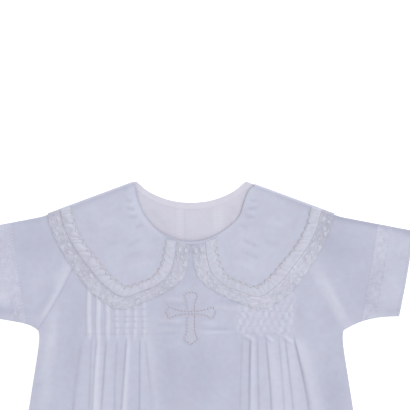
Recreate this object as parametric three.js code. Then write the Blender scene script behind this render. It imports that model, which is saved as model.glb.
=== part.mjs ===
// Christening gown, laid flat on its back with its front upwards, in millimetres.
// +Z is up from the surface it lies on, +Y runs towards the neck, +X is the right of the picture.
// A "drop" is a distance below the neck point, measured along the gown.
import * as THREE from 'three';

const { clamp, lerp, smoothstep } = THREE.MathUtils;

// Cloth and seams
const WALL = 1.0;
const SEAM = 0.3;
const LAYER = WALL + SEAM;

// Body
const GOWN_LENGTH = 607;
const NECK_HALF = 51;
const FRONT_NECK_DROP = 55;
const BACK_NECK_DROP = 19;
const BACK_NECK_POWER = 2.2;
const NECK_POINT_DROP = 1.9;
const SHOULDER_SLOPE = 0.37;
const SHOULDER_TIP = 88;
const UNDERARM_HALF = 138;
const UNDERARM_DROP = 133;
const UNDERARM_EASE = 6;
const ARMHOLE_POWER = 1.5;
const CHEST_HALF = 136;
const CHEST_DROP = 142;
const SIDE_FLARE = 0.163;

// Sleeves
const SLEEVE_SLOPE = 0.19;
const SLEEVE_BEND = 130;
const SLEEVE_BEND_LENGTH = 8;
const SLEEVE_LOFT = 3.4;
const SLEEVE_LOFT_FROM = 130;
const SLEEVE_LOFT_TO = 172;
const SLEEVE_STEPS = 5;
const FOLD_STEPS = 2;
const LACE_START = { top: 169, bottom: 155 };
const LACE_END = { top: 180.5, bottom: 166.5 };
const CUFF_END = { top: 201, bottom: 188 };

// Layers that lie over each other
const LIFT_SIDE_FROM = 132;
const LIFT_SIDE_TO = 158;
const LIFT_DROP_FROM = 176;
const LIFT_DROP_TO = 216;
const PLACKET_RISE = 1.4;
const PLACKET_RISE_FROM = 10;
const PLACKET_RISE_TO = 34;
const PLACKET_RISE_END = 180;
const PLACKET_RISE_GONE = 230;
const COLLAR_RISE = 2.0;
const COLLAR_RISE_FROM = 68;
const COLLAR_RISE_TO = 85;

// Smocked panels and the folds they let out
const PLEAT_PITCH = 8;
const PLEAT_IN = 39;
const PLEAT_IN_TOP = 36;
const PLEAT_OUT_TOP = 82;
const PLEAT_FAN_IN = -0.045;
const PLEAT_FAN_OUT = 0.17;
const UPPER_SHARES = [0, 0.35, 0.7];
const SMOCK_FROM = 86;
const SMOCK_TO = 139;
const SMOCK_HEIGHT = 1.6;
const SMOCK_PINCH = 0.3;
const STITCH_ROWS = [117.5, 124.7, 131.9, 138.2];
const SKIRT_ROWS = [144, 156, 180, 220, 280, 350, 430, 520, GOWN_LENGTH];
const FOLD_HEIGHT = 3.4;
const FOLD_OPEN = 250;
const SIDE_FOLD = 1.8;

// Across one pleat, from one valley to the next: where each line lies and how high it is.
const PLEAT_LINES = [
  { tight: 0.0, open: 0.0, tightHeight: 0, openHeight: 0.0 },
  { tight: 0.45, open: 0.25, tightHeight: 0, openHeight: 0.5 },
  { tight: 0.68, open: 0.5, tightHeight: 1, openHeight: 1.0 },
  { tight: 0.9, open: 0.75, tightHeight: 0, openHeight: 0.5 },
];

// The pleats of each panel from the centre outwards: smocked height and skirt fold, as shares.
const PLEATS = [
  { leftTuck: 0.8, leftFold: 0.8, rightTuck: 0.8, rightFold: 0.4 },
  { leftTuck: 0.7, leftFold: 0.35, rightTuck: 0.9, rightFold: 0.9 },
  { leftTuck: 0.8, leftFold: 1.0, rightTuck: 0.9, rightFold: 0.5 },
  { leftTuck: 0.6, leftFold: 0.4, rightTuck: 0.9, rightFold: 0.4 },
  { leftTuck: 1.0, leftFold: 0.5, rightTuck: 0.9, rightFold: 0.7 },
  { leftTuck: 1.0, leftFold: 1.0, rightTuck: 0.9, rightFold: 0.8 },
  { leftTuck: 1.0, leftFold: 0.5, rightTuck: 0.8, rightFold: 1.0 },
];
const PLEAT_OUT = PLEAT_IN + PLEATS.length * PLEAT_PITCH;

// What differs between the two sides: how far out the sleeve lies, the curve of its underside,
// and how far the smocking draws the pleats together.
const SIDES = [
  { name: 'left', sign: -1, out: -5.5, cuffDrop: 121.5, slant: 7.5, hollow: 4.0, power: 8, draw: 0.4 },
  { name: 'right', sign: 1, out: 0, cuffDrop: 120.8, slant: 0.5, hollow: 11.7, power: 2.6, draw: 1.2 },
];
const [LEFT, RIGHT] = SIDES;

// Collar, a row for each section from the centre to the shoulder:
// neck edge, seam of the puffed band, lace edge.
const FRONT_COLLAR = [
  { neck: 24.0, seamX: 21.5, seamDrop: 51.5, edgeX: 0.7, edgeDrop: 57.0 },
  { neck: 26.0, seamX: 24.0, seamDrop: 68.0, edgeX: 2.5, edgeDrop: 76.0 },
  { neck: 28.0, seamX: 28.0, seamDrop: 79.0, edgeX: 8.0, edgeDrop: 89.0 },
  { neck: 31.0, seamX: 35.0, seamDrop: 87.0, edgeX: 20.0, edgeDrop: 98.5 },
  { neck: 34.0, seamX: 46.0, seamDrop: 91.5, edgeX: 42.0, edgeDrop: 109.0 },
  { neck: 37.0, seamX: 59.0, seamDrop: 95.0, edgeX: 64.0, edgeDrop: 115.3 },
  { neck: 41.0, seamX: 70.0, seamDrop: 87.5, edgeX: 86.0, edgeDrop: 104.0 },
  { neck: 44.0, seamX: 83.5, seamDrop: 72.5, edgeX: 104.0, edgeDrop: 83.0 },
  { neck: 47.0, seamX: 96.0, seamDrop: 56.5, edgeX: 118.0, edgeDrop: 61.5 },
  { neck: 49.5, seamX: 104.5, seamDrop: 40.0, edgeX: 125.5, edgeDrop: 45.0 },
];
const BACK_COLLAR = [
  { neck: 21.0, seamX: 19.5, seamDrop: 19.0, edgeX: 1.2, edgeDrop: 21.0 },
  { neck: 23.0, seamX: 23.0, seamDrop: 42.0, edgeX: 3.5, edgeDrop: 55.0 },
  { neck: 25.0, seamX: 26.0, seamDrop: 60.0, edgeX: 9.0, edgeDrop: 76.0 },
  { neck: 27.0, seamX: 32.0, seamDrop: 70.0, edgeX: 20.0, edgeDrop: 86.0 },
  { neck: 30.0, seamX: 42.0, seamDrop: 76.0, edgeX: 41.0, edgeDrop: 97.0 },
  { neck: 32.0, seamX: 55.0, seamDrop: 79.5, edgeX: 61.0, edgeDrop: 101.0 },
  { neck: 35.0, seamX: 67.0, seamDrop: 75.0, edgeX: 83.0, edgeDrop: 94.0 },
  { neck: 39.0, seamX: 81.0, seamDrop: 65.0, edgeX: 101.0, edgeDrop: 77.0 },
  { neck: 43.0, seamX: 94.0, seamDrop: 52.0, edgeX: 116.0, edgeDrop: 59.0 },
  { neck: 47.0, seamX: 103.0, seamDrop: 38.0, edgeX: 124.5, edgeDrop: 44.0 },
];
const SHOULDER_FOLD = { neck: NECK_HALF, seamX: 109, edgeX: 129.5 };
const COLLAR_STEPS = 24;
const ROLL_STEPS = 3;
const BAND_SHARE = 0.4;
const SEAM_SHARE = SEAM / 21;
const PUFFS = 24;
const PUFF_HEIGHT = 0.8;
const SCALLOPS = 17;
const SCALLOP_SHARE = 0.075;

// Neck and back opening
const BINDING_WIDTH = 2.4;
const BINDING_GAP = 0.5;
const BINDING_STEPS = 24;
const BINDING_REACH = 87;
const FACING_WIDTH = 6;
const FACING_REACH = 46;
const FACING_STEPS = 8;
const PLACKET_LEFT = -5.5;
const PLACKET_RIGHT = 6;
const PLACKET_FROM = 25.6;
const PLACKET_TO = 172;
const PLACKET_STEPS = 4;
const BUTTON_RADIUS = 4.5;
const BUTTON_THICK = 1.0;
const BUTTONS = [
  { name: 'button_top', drop: 76 },
  { name: 'button_middle', drop: 115 },
  { name: 'button_low', drop: 154 },
];

// Finishes
const BATISTE = new THREE.MeshStandardMaterial({ color: '#d3d6e6', roughness: 0.85, metalness: 0 });
const PUFFED = new THREE.MeshStandardMaterial({ color: '#cdcfde', roughness: 0.88, metalness: 0 });
const LACE = new THREE.MeshStandardMaterial({ color: '#c6c8d6', roughness: 0.92, metalness: 0 });
const PEARL = new THREE.MeshStandardMaterial({ color: '#e9e8ea', roughness: 0.35, metalness: 0 });

// Outline of the flat gown
const smooth = (from, to, value) => smoothstep(value, from, to);

// Upper edge: the shoulder line, then the flatter fold along the sleeve.
function topDrop(x) {
  const bend = Math.max(0, x - SLEEVE_BEND);
  const eased = Math.min(bend, SLEEVE_BEND_LENGTH);
  const flatter = eased ** 2 / (2 * SLEEVE_BEND_LENGTH) + bend - eased;
  const shoulder = NECK_POINT_DROP + SHOULDER_SLOPE * (x - NECK_HALF);
  return shoulder - (SHOULDER_SLOPE - SLEEVE_SLOPE) * flatter;
}

const TIP_DROP = topDrop(SHOULDER_TIP);
const SMOCK_SHARE = (SMOCK_FROM - TIP_DROP) / (UNDERARM_DROP - TIP_DROP);
const FOLD_NORMAL = new THREE.Vector2(SHOULDER_SLOPE, 1).normalize();
const ROLL_RADIUS = (3 * LAYER) / 2;
const TOP_Y = (GOWN_LENGTH + NECK_POINT_DROP - (ROLL_RADIUS + WALL / 2) * FOLD_NORMAL.y) / 2;

// Half width of the body: armhole above, flaring side seam below.
function bodyHalf(drop) {
  if (drop <= UNDERARM_DROP) {
    const share = clamp((drop - TIP_DROP) / (UNDERARM_DROP - TIP_DROP), 0, 1);
    return SHOULDER_TIP + (UNDERARM_HALF - SHOULDER_TIP) * share ** ARMHOLE_POWER;
  }
  const line = CHEST_HALF + SIDE_FLARE * (drop - CHEST_DROP);
  const corner = UNDERARM_HALF - CHEST_HALF + SIDE_FLARE * (CHEST_DROP - UNDERARM_DROP);
  return line + corner * Math.exp((UNDERARM_DROP - drop) / UNDERARM_EASE);
}

// Lower edge of a sleeve, from the underarm to the cuff.
function underDrop(side, x) {
  const end = CUFF_END.bottom + side.out;
  const rest = clamp((end - x) / (end - UNDERARM_HALF), 0, 1);
  return side.cuffDrop + side.slant * rest + side.hollow * rest ** side.power;
}

const frontNeck = (x) => FRONT_NECK_DROP * Math.sqrt(Math.max(0, 1 - (x / NECK_HALF) ** 2));
const backNeck = (x) => BACK_NECK_DROP * (1 - Math.abs(x / NECK_HALF) ** BACK_NECK_POWER);
const frontTop = (x) => Math.max(frontNeck(x), topDrop(x));
const backTop = (x) => Math.max(backNeck(x), topDrop(x));

// Heights of the layers
const point = (x, drop, z) => new THREE.Vector3(x, TOP_Y - drop, z);

// The back panels lie on the back half of the collar and come down to the surface beyond it.
function lift(x, drop) {
  const across = 1 - smooth(LIFT_SIDE_FROM, LIFT_SIDE_TO, Math.abs(x));
  return LAYER * across * (1 - smooth(LIFT_DROP_FROM, LIFT_DROP_TO, drop));
}

const backLevel = (x, drop) => lift(x, drop) + WALL / 2;

// The front lies on the back and rides over the placket.
function frontLevel(x, drop) {
  const across = 1 - smooth(PLACKET_RISE_FROM, PLACKET_RISE_TO, Math.abs(x));
  const down = 1 - smooth(PLACKET_RISE_END, PLACKET_RISE_GONE, drop);
  return backLevel(x, drop) + LAYER + PLACKET_RISE * across * down;
}

const collarLevel = (x, drop) =>
  frontLevel(x, drop) + LAYER + COLLAR_RISE * smooth(COLLAR_RISE_FROM, COLLAR_RISE_TO, drop);

// Walls

// Turns a closed surface so that its faces point outwards.
function facingOut(geometry) {
  const place = geometry.getAttribute('position');
  const index = geometry.getIndex();
  const corner = [0, 1, 2].map(() => new THREE.Vector3());
  let volume = 0;
  for (let i = 0; i < index.count; i += 3) {
    corner.forEach((v, k) => v.fromBufferAttribute(place, index.getX(i + k)));
    volume += corner[0].dot(corner[1].clone().cross(corner[2]));
  }
  if (volume < 0) {
    for (let i = 0; i < index.count; i += 3) {
      const held = index.getX(i + 1);
      index.setX(i + 1, index.getX(i + 2));
      index.setX(i + 2, held);
    }
  }
  geometry.computeVertexNormals();
  return geometry;
}

// A closed wall on both sides of a grid of points; a loop joins the last column to the first.
function wall(grid, { loop = false, thick = WALL, raise = null } = {}) {
  const rows = grid.length;
  const columns = grid[0].length;
  const row = (r) => grid[clamp(r, 0, rows - 1)];
  const at = (r, c) => row(r)[loop ? (c + columns) % columns : clamp(c, 0, columns - 1)];
  const place = [];
  for (const outward of [1, -1]) {
    for (let r = 0; r < rows; r += 1) {
      for (let c = 0; c < columns; c += 1) {
        const across = at(r, c + 1).clone().sub(at(r, c - 1));
        const along = at(r - 1, c).clone().sub(at(r + 1, c));
        const away = across.cross(along).normalize();
        const extra = raise && outward * away.z > 0 ? raise[r][c] : 0;
        const spot = at(r, c).clone().addScaledVector(away, outward * thick / 2);
        place.push(spot.x, spot.y, spot.z + extra);
      }
    }
  }
  const outer = (r, c) => r * columns + (c % columns);
  const inner = (r, c) => rows * columns + outer(r, c);
  const faces = [];
  const quad = (a, b, c, d) => faces.push(a, b, c, a, c, d);
  const steps = loop ? columns : columns - 1;
  for (let c = 0; c < steps; c += 1) {
    for (let r = 0; r < rows - 1; r += 1) {
      quad(outer(r, c), outer(r + 1, c), outer(r + 1, c + 1), outer(r, c + 1));
      quad(inner(r, c), inner(r, c + 1), inner(r + 1, c + 1), inner(r + 1, c));
    }
    quad(outer(0, c), outer(0, c + 1), inner(0, c + 1), inner(0, c));
    quad(outer(rows - 1, c), inner(rows - 1, c), inner(rows - 1, c + 1), outer(rows - 1, c + 1));
  }
  if (!loop) {
    for (let r = 0; r < rows - 1; r += 1) {
      quad(outer(r, 0), inner(r, 0), inner(r + 1, 0), outer(r + 1, 0));
      quad(outer(r, steps), outer(r + 1, steps), inner(r + 1, steps), inner(r, steps));
    }
  }
  const geometry = new THREE.BufferGeometry();
  geometry.setAttribute('position', new THREE.Float32BufferAttribute(place, 3));
  geometry.setIndex(faces);
  return facingOut(geometry);
}

const gown = new THREE.Group();
gown.name = 'christening_gown';

function add(name, geometry, material) {
  const mesh = new THREE.Mesh(geometry, material);
  mesh.name = name;
  gown.add(mesh);
}

// Body panels

// A place in the upper body: columns run from the neck or shoulder edge down to the smocking.
function upperPlace(topX, top, lowX, edgeShare, share) {
  const drop = lerp(top, SMOCK_FROM, share);
  const straight = lerp(SHOULDER_TIP, bodyHalf(SMOCK_FROM), share);
  return { x: lerp(topX, lowX, share) + edgeShare * (bodyHalf(drop) - straight), drop };
}

// One column of the front on one side: where it lies at a drop, and its share of tuck and fold.
function frontColumns(side) {
  const fanIn = (drop) => PLEAT_IN + PLEAT_FAN_IN * Math.max(0, drop - SMOCK_TO);
  const fanOut = (drop) => PLEAT_OUT + PLEAT_FAN_OUT * Math.max(0, drop - SMOCK_TO);
  const opened = (drop) => smooth(SMOCK_TO, FOLD_OPEN, drop);
  const columns = [];
  for (const share of [0, 0.25, 0.5, 0.75]) {
    columns.push({
      topX: PLEAT_IN_TOP * share,
      edgeShare: 0,
      low: (drop) => fanIn(drop) * share,
      tuck: () => 0,
      fold: () => 0,
    });
  }
  PLEATS.forEach((pleat, k) => {
    for (const line of PLEAT_LINES) {
      const spot = (drop) => (k + lerp(line.tight, line.open, opened(drop))) / PLEATS.length;
      const pull = (row) => ((k + row) % 2 ? -1 : 1) * side.draw * line.tightHeight;
      columns.push({
        topX: lerp(PLEAT_IN_TOP, PLEAT_OUT_TOP, (k + line.tight) / PLEATS.length),
        edgeShare: 0,
        low: (drop) => {
          const row = STITCH_ROWS.indexOf(drop);
          return lerp(fanIn(drop), fanOut(drop), spot(drop)) + (row < 0 ? 0 : pull(row));
        },
        tuck: () => pleat[side.name + 'Tuck'] * line.tightHeight,
        fold: (drop) =>
          pleat[side.name + 'Fold'] * lerp(line.tightHeight, line.openHeight, opened(drop)),
      });
    }
  });
  for (const share of [0, 1 / 3, 2 / 3, 1]) {
    columns.push({
      topX: lerp(PLEAT_OUT_TOP, SHOULDER_TIP, share),
      edgeShare: share,
      low: (drop) => lerp(fanOut(drop), bodyHalf(drop), share),
      tuck: () => 0,
      fold: (drop) => (SIDE_FOLD / FOLD_HEIGHT) * Math.sin(Math.PI * share) * opened(drop),
    });
  }
  return columns;
}

function frontPanel() {
  const left = frontColumns(LEFT).slice(1).toReversed();
  const columns = [
    ...left.map((column) => ({ ...column, sign: -1 })),
    ...frontColumns(RIGHT).map((column) => ({ ...column, sign: 1 })),
  ];
  const between = STITCH_ROWS.slice(1).map((drop, i) => (drop + STITCH_ROWS[i]) / 2);
  const smockRows = [...STITCH_ROWS, ...between, 95, 109].sort((a, b) => a - b);
  const rows = [SMOCK_FROM, ...smockRows, ...SKIRT_ROWS];
  const grid = [];
  const raise = [];
  for (const share of UPPER_SHARES) {
    grid.push(columns.map((column) => {
      const low = column.low(SMOCK_FROM);
      const { x, drop } = upperPlace(column.topX, frontTop(column.topX), low, column.edgeShare, share);
      return point(column.sign * x, drop, frontLevel(x, drop));
    }));
    raise.push(columns.map(() => 0));
  }
  for (const drop of rows) {
    const letOut = smooth(SMOCK_TO - 2, SMOCK_TO + 45, drop);
    const held = smooth(SMOCK_FROM - 1, SMOCK_FROM + 9, drop) * (1 - smooth(SMOCK_TO, SMOCK_TO + 12, drop));
    const pinch = STITCH_ROWS.includes(drop) ? 1 - SMOCK_PINCH : 1;
    grid.push(columns.map((column) => {
      const x = column.low(drop);
      const height = frontLevel(x, drop) + FOLD_HEIGHT * letOut * column.fold(drop);
      return point(column.sign * x, drop, height);
    }));
    raise.push(columns.map((column) => SMOCK_HEIGHT * held * pinch * column.tuck()));
  }
  return wall(grid, { raise });
}

function backPanel(side) {
  const tops = [SEAM / 2, 17, 30, 40, 47, NECK_HALF, 70, SHOULDER_TIP];
  const rows = [SMOCK_FROM, 98, 110, 121.5, UNDERARM_DROP, CHEST_DROP];
  rows.push(LIFT_DROP_FROM, 190, 203, 220, 330, 470, GOWN_LENGTH);
  const low = (top, drop) => (top === tops[0] ? top : (bodyHalf(drop) * top) / SHOULDER_TIP);
  const edge = (top) => Math.max(0, (top - NECK_HALF) / (SHOULDER_TIP - NECK_HALF));
  const grid = UPPER_SHARES.map((share) => tops.map((top) => {
    const { x, drop } = upperPlace(top, backTop(top), low(top, SMOCK_FROM), edge(top), share);
    return point(side.sign * x, drop, backLevel(x, drop));
  }));
  for (const drop of rows) {
    grid.push(tops.map((top) => {
      const x = low(top, drop);
      return point(side.sign * x, drop, backLevel(x, drop));
    }));
  }
  return wall(grid);
}

// Sleeves

// Shares of the armhole from shoulder to underarm, at the same places as the lines of the body.
const SLEEVE_SHARES = [
  ...UPPER_SHARES.map((share) => share * SMOCK_SHARE),
  ...Array.from({ length: SLEEVE_STEPS + 1 }, (_, i) => lerp(SMOCK_SHARE, 1, i / SLEEVE_STEPS)),
];

const armhole = (share) => {
  const drop = lerp(TIP_DROP, UNDERARM_DROP, share);
  return new THREE.Vector2(bodyHalf(drop) + SEAM, drop);
};

// A straight line across a sleeve, shifted along it by part of a seam.
const sleeveLine = (side, line, shift) => {
  const topX = line.top + side.out + shift;
  const bottomX = line.bottom + side.out + shift;
  const top = new THREE.Vector2(topX, topDrop(topX));
  const bottom = new THREE.Vector2(bottomX, underDrop(side, bottomX));
  return (share) => top.clone().lerp(bottom, share);
};

// A flattened tube between two lines across the sleeve, folded at the top and seamed underneath.
function sleevePiece(side, from, to, steps) {
  const slope = (edge, x) => edge(x + 0.5) - edge(x - 0.5);
  const under = (x) => underDrop(side, x);
  const ends = (share, t) => from(share).lerp(to(share), t);
  const plan = (share, t) => {
    const upperX = lerp(from(0).x, to(0).x, t);
    const lowerX = lerp(from(1).x, to(1).x, t);
    const upper = new THREE.Vector2(upperX, topDrop(upperX)).sub(ends(0, t));
    const lower = new THREE.Vector2(lowerX, under(lowerX)).sub(ends(1, t));
    return ends(share, t).addScaledVector(upper, 1 - share).addScaledVector(lower, share);
  };
  const loft = (x, share) =>
    SLEEVE_LOFT * smooth(SLEEVE_LOFT_FROM, SLEEVE_LOFT_TO, x) * Math.sin(Math.PI * share);
  const spot = (share, t, upper) => {
    const { x, y } = plan(share, t);
    const rise = upper ? LAYER + loft(x, share) : 0;
    return point(side.sign * x, y, backLevel(x, y) + rise);
  };
  const fold = (share, t, turn) => {
    const { x, y } = plan(share, t);
    const tilt = share ? -slope(under, x) : slope(topDrop, x);
    const away = new THREE.Vector2(tilt, share ? -1 : 1).normalize();
    const reach = (LAYER / 2) * Math.sin(turn);
    const height = backLevel(x, y) + (LAYER / 2) * (1 + Math.cos(turn));
    return point(side.sign * (x + away.x * reach), y - away.y * reach, height);
  };
  const grid = [];
  for (let r = 0; r <= steps; r += 1) {
    const t = r / steps;
    const turns = Array.from({ length: FOLD_STEPS }, (_, i) => (Math.PI * (i + 1)) / (FOLD_STEPS + 1));
    grid.push([
      ...SLEEVE_SHARES.map((share) => spot(share, t, true)),
      ...turns.map((turn) => fold(1, t, turn)),
      ...SLEEVE_SHARES.toReversed().map((share) => spot(share, t, false)),
      ...turns.toReversed().map((turn) => fold(0, t, turn)),
    ]);
  }
  return wall(grid, { loop: true });
}

// Collar

// The neck, seam and lace curves of one half of a collar, as curves in the flat.
function collarCurves(sections, neckEdge) {
  const fold = {
    neck: SHOULDER_FOLD.neck,
    neckDrop: topDrop(SHOULDER_FOLD.neck),
    seamX: SHOULDER_FOLD.seamX,
    seamDrop: topDrop(SHOULDER_FOLD.seamX),
    edgeX: SHOULDER_FOLD.edgeX,
    edgeDrop: topDrop(SHOULDER_FOLD.edgeX),
  };
  const all = [...sections.map((section) => ({ ...section, neckDrop: neckEdge(section.neck) })), fold];
  const curve = (spots) => new THREE.CatmullRomCurve3(spots);
  return {
    neck: curve(all.map(({ neck, neckDrop }) => new THREE.Vector3(neck, neckDrop, 0))),
    seam: curve(all.map(({ seamX, seamDrop }) => new THREE.Vector3(seamX, seamDrop, 0))),
    edge: curve(all.map(({ edgeX, edgeDrop }) => new THREE.Vector3(edgeX, edgeDrop, 0))),
  };
}

const FRONT_CURVES = collarCurves(FRONT_COLLAR, frontNeck);
const BACK_CURVES = collarCurves(BACK_COLLAR, backNeck);

// A strip of collar from centre front, rolled over the shoulder, to centre back.
function collarStrip(side, places, frontAt, backAt, options = {}) {
  const grid = [];
  const flat = (curves, t, level, share) =>
    grid.push(places.map((place) => {
      const { x, y } = place(curves, t, share);
      return point(side.sign * x, y, level(x, y));
    }));
  frontAt.forEach((t, i) => flat(FRONT_CURVES, t, collarLevel, i / (frontAt.length - 1)));
  for (let i = 1; i <= ROLL_STEPS; i += 1) {
    const turn = (Math.PI * i) / (ROLL_STEPS + 1);
    const reach = ROLL_RADIUS * Math.sin(turn);
    const height = WALL / 2 + ROLL_RADIUS * (1 + Math.cos(turn));
    grid.push(places.map((place) => {
      const { x, y } = place(FRONT_CURVES, 1, 1);
      return point(side.sign * (x + FOLD_NORMAL.x * reach), y - FOLD_NORMAL.y * reach, height);
    }));
  }
  backAt.forEach((t, i) => flat(BACK_CURVES, t, () => WALL / 2, 1 - i / (backAt.length - 1)));
  return wall(grid, { raise: options.raise ? options.raise(grid) : null });
}

const evenly = (steps) => Array.from({ length: steps + 1 }, (_, i) => i / steps);
const between = (first, second, share) => (curves, t) =>
  curves[first].getPoint(t).lerp(curves[second].getPoint(t), share);

function collarBody(side) {
  const places = [0, 0.5, 1].map((share) => between('neck', 'seam', share));
  const front = evenly(COLLAR_STEPS);
  return collarStrip(side, places, front, front.toReversed());
}

// The puffed band: its outer face swells between the gathers, on the half that shows.
function collarBand(side) {
  const shares = [SEAM_SHARE, BAND_SHARE / 2, BAND_SHARE];
  const places = shares.map((share) => between('seam', 'edge', share));
  const front = evenly(2 * PUFFS);
  const swell = (r, c) => (r < front.length - 1 && r % 2 && c === 1 ? PUFF_HEIGHT : 0);
  const raise = (grid) => grid.map((row, r) => row.map((_, c) => swell(r, c)));
  return collarStrip(side, places, front, evenly(COLLAR_STEPS).toReversed(), { raise });
}

// The lace edging, cut into scallops along its free edge.
function collarLace(side) {
  const inner = between('seam', 'edge', BAND_SHARE + SEAM_SHARE);
  const outer = (curves, t, share) => {
    const dip = SCALLOP_SHARE * (1 - Math.abs(Math.sin(Math.PI * SCALLOPS * share)));
    return between('seam', 'edge', 1 - dip)(curves, t);
  };
  const spaced = (curves, steps) => evenly(steps).map((u) => curves.edge.getUtoTmapping(u));
  const front = spaced(FRONT_CURVES, 4 * SCALLOPS);
  const back = spaced(BACK_CURVES, 2 * SCALLOPS).toReversed();
  return collarStrip(side, [inner, outer], front, back);
}

// Neck and back opening

function neckBinding() {
  const grid = [];
  const inset = BINDING_GAP + BINDING_WIDTH / 2;
  for (let i = 0; i <= BINDING_STEPS; i += 1) {
    const angle = THREE.MathUtils.degToRad(lerp(-BINDING_REACH, BINDING_REACH, i / BINDING_STEPS));
    const edge = new THREE.Vector2(NECK_HALF * Math.sin(angle), FRONT_NECK_DROP * Math.cos(angle));
    const out = new THREE.Vector2(edge.x / NECK_HALF ** 2, edge.y / FRONT_NECK_DROP ** 2).normalize();
    grid.push([-0.5, 0, 0.5].map((share) => {
      const spot = edge.clone().addScaledVector(out, share * BINDING_WIDTH - inset);
      return point(spot.x, spot.y, frontLevel(edge.x, edge.y) + LAYER / 2);
    }));
  }
  return wall(grid, { thick: WALL + LAYER });
}

function neckFacing(side) {
  const grid = evenly(FACING_STEPS).map((share) => {
    const x = lerp(SEAM, FACING_REACH, share);
    return [0, 0.5, 1].map((across) => {
      const drop = backNeck(x) + FACING_WIDTH * across;
      return point(side.sign * x, drop, backLevel(x, drop) + LAYER);
    });
  });
  return wall(grid);
}

function placket() {
  const grid = evenly(PLACKET_STEPS).map((share) => {
    const drop = lerp(PLACKET_FROM, PLACKET_TO, share);
    return [PLACKET_LEFT, PLACKET_RIGHT].map((x) => point(x, drop, backLevel(x, drop) + LAYER));
  });
  return wall(grid);
}

function button(drop) {
  const disc = new THREE.CylinderGeometry(BUTTON_RADIUS, BUTTON_RADIUS, BUTTON_THICK, 20);
  const { x, y } = point(0, drop, 0);
  return disc.rotateX(Math.PI / 2).translate(x, y, BUTTON_THICK / 2);
}

// The gown
add('front', frontPanel(), BATISTE);
add('back_placket', placket(), BATISTE);
add('neck_binding', neckBinding(), BATISTE);
for (const { name, drop } of BUTTONS) add(name, button(drop), PEARL);
for (const side of SIDES) {
  const laceStart = (shift) => sleeveLine(side, LACE_START, shift * SEAM);
  const laceEnd = (shift) => sleeveLine(side, LACE_END, shift * SEAM);
  add('back_' + side.name, backPanel(side), BATISTE);
  add('sleeve_' + side.name, sleevePiece(side, armhole, laceStart(-0.5), 6), BATISTE);
  add('sleeve_lace_' + side.name, sleevePiece(side, laceStart(0.5), laceEnd(-0.5), 2), LACE);
  add('cuff_' + side.name, sleevePiece(side, laceEnd(0.5), sleeveLine(side, CUFF_END, 0), 2), BATISTE);
  add('collar_' + side.name, collarBody(side), BATISTE);
  add('collar_band_' + side.name, collarBand(side), PUFFED);
  add('collar_lace_' + side.name, collarLace(side), LACE);
  add('neck_facing_' + side.name, neckFacing(side), BATISTE);
}

export default gown;
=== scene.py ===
"""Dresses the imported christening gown: fine cloth, smocking, lace, embroidery, floor, light and camera."""

import logging
import math
from collections.abc import Callable, Sequence
from dataclasses import dataclass
from enum import Enum
from functools import cache
from typing import ClassVar

import bpy
import numpy as np
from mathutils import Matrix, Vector


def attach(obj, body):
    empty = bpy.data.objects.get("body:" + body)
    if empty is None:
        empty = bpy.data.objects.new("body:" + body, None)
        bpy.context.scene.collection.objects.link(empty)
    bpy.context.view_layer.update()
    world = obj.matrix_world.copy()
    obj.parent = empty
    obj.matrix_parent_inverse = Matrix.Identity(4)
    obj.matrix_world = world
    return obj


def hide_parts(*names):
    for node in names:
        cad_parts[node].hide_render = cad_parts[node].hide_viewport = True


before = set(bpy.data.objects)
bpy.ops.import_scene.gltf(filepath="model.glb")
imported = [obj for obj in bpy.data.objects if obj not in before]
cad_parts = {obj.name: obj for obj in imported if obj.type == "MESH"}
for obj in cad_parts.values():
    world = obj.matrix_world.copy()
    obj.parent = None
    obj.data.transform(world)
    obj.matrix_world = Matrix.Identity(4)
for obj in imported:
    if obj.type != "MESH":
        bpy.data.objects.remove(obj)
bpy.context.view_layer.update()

MM = 0.001
CLOTH = 0.6
SETTLE = -0.2
LOG = logging.getLogger("gown")

Grid = np.ndarray
Colour = tuple[float, float, float]


def smooth(start: float, stop: float, value: Grid) -> Grid:
    """Eases from 0 at start to 1 at stop.

    Args:
        start: Value where the rise begins.
        stop: Value where the rise ends.
        value: Values to ease.

    Returns:
        The eased shares, each from 0 to 1.
    """
    share = np.clip((value - start) / (stop - start), 0.0, 1.0)
    return share * share * (3.0 - 2.0 * share)


def mix(first: Grid, second: Grid, share: Grid) -> Grid:
    """Goes from first to second by a share."""
    return first + (second - first) * share


def swell(value: Grid, width: float | Grid) -> Grid:
    """A soft hump, 1 at zero and fading over a width."""
    return np.exp(-((value / width) ** 2))


class Side(Enum):
    """The two sides of the gown as the picture shows them."""

    LEFT = -1
    RIGHT = 1

    @property
    def word(self) -> str:
        """The side's name as the nodes use it."""
        return self.name.lower()


class Slot(Enum):
    """The record's material slots."""

    BATISTE = "batiste"
    PUFFED = "puffed"
    LACE = "lace"
    PEARL = "pearl"


class Held(Enum):
    """How a cloth piece is held."""

    LAID = "laid"
    FOLDED = "folded"
    GATHERED = "gathered"


@dataclass(frozen=True)
class SleeveLie:
    """How one sleeve lies.

    Attributes:
        out: How much further out the sleeve lies than the pattern.
        cuff_drop: Drop of the cuff's lower corner.
        slant: Slope of the underside towards the underarm.
        hollow: Depth of the underarm curve.
        power: Tightness of the underarm curve.
    """

    out: float
    cuff_drop: float
    slant: float
    hollow: float
    power: float


LIES = {
    Side.LEFT: SleeveLie(-5.5, 121.5, 7.5, 4.0, 8.0),
    Side.RIGHT: SleeveLie(0.0, 120.8, 0.5, 11.7, 2.6),
}


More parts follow.
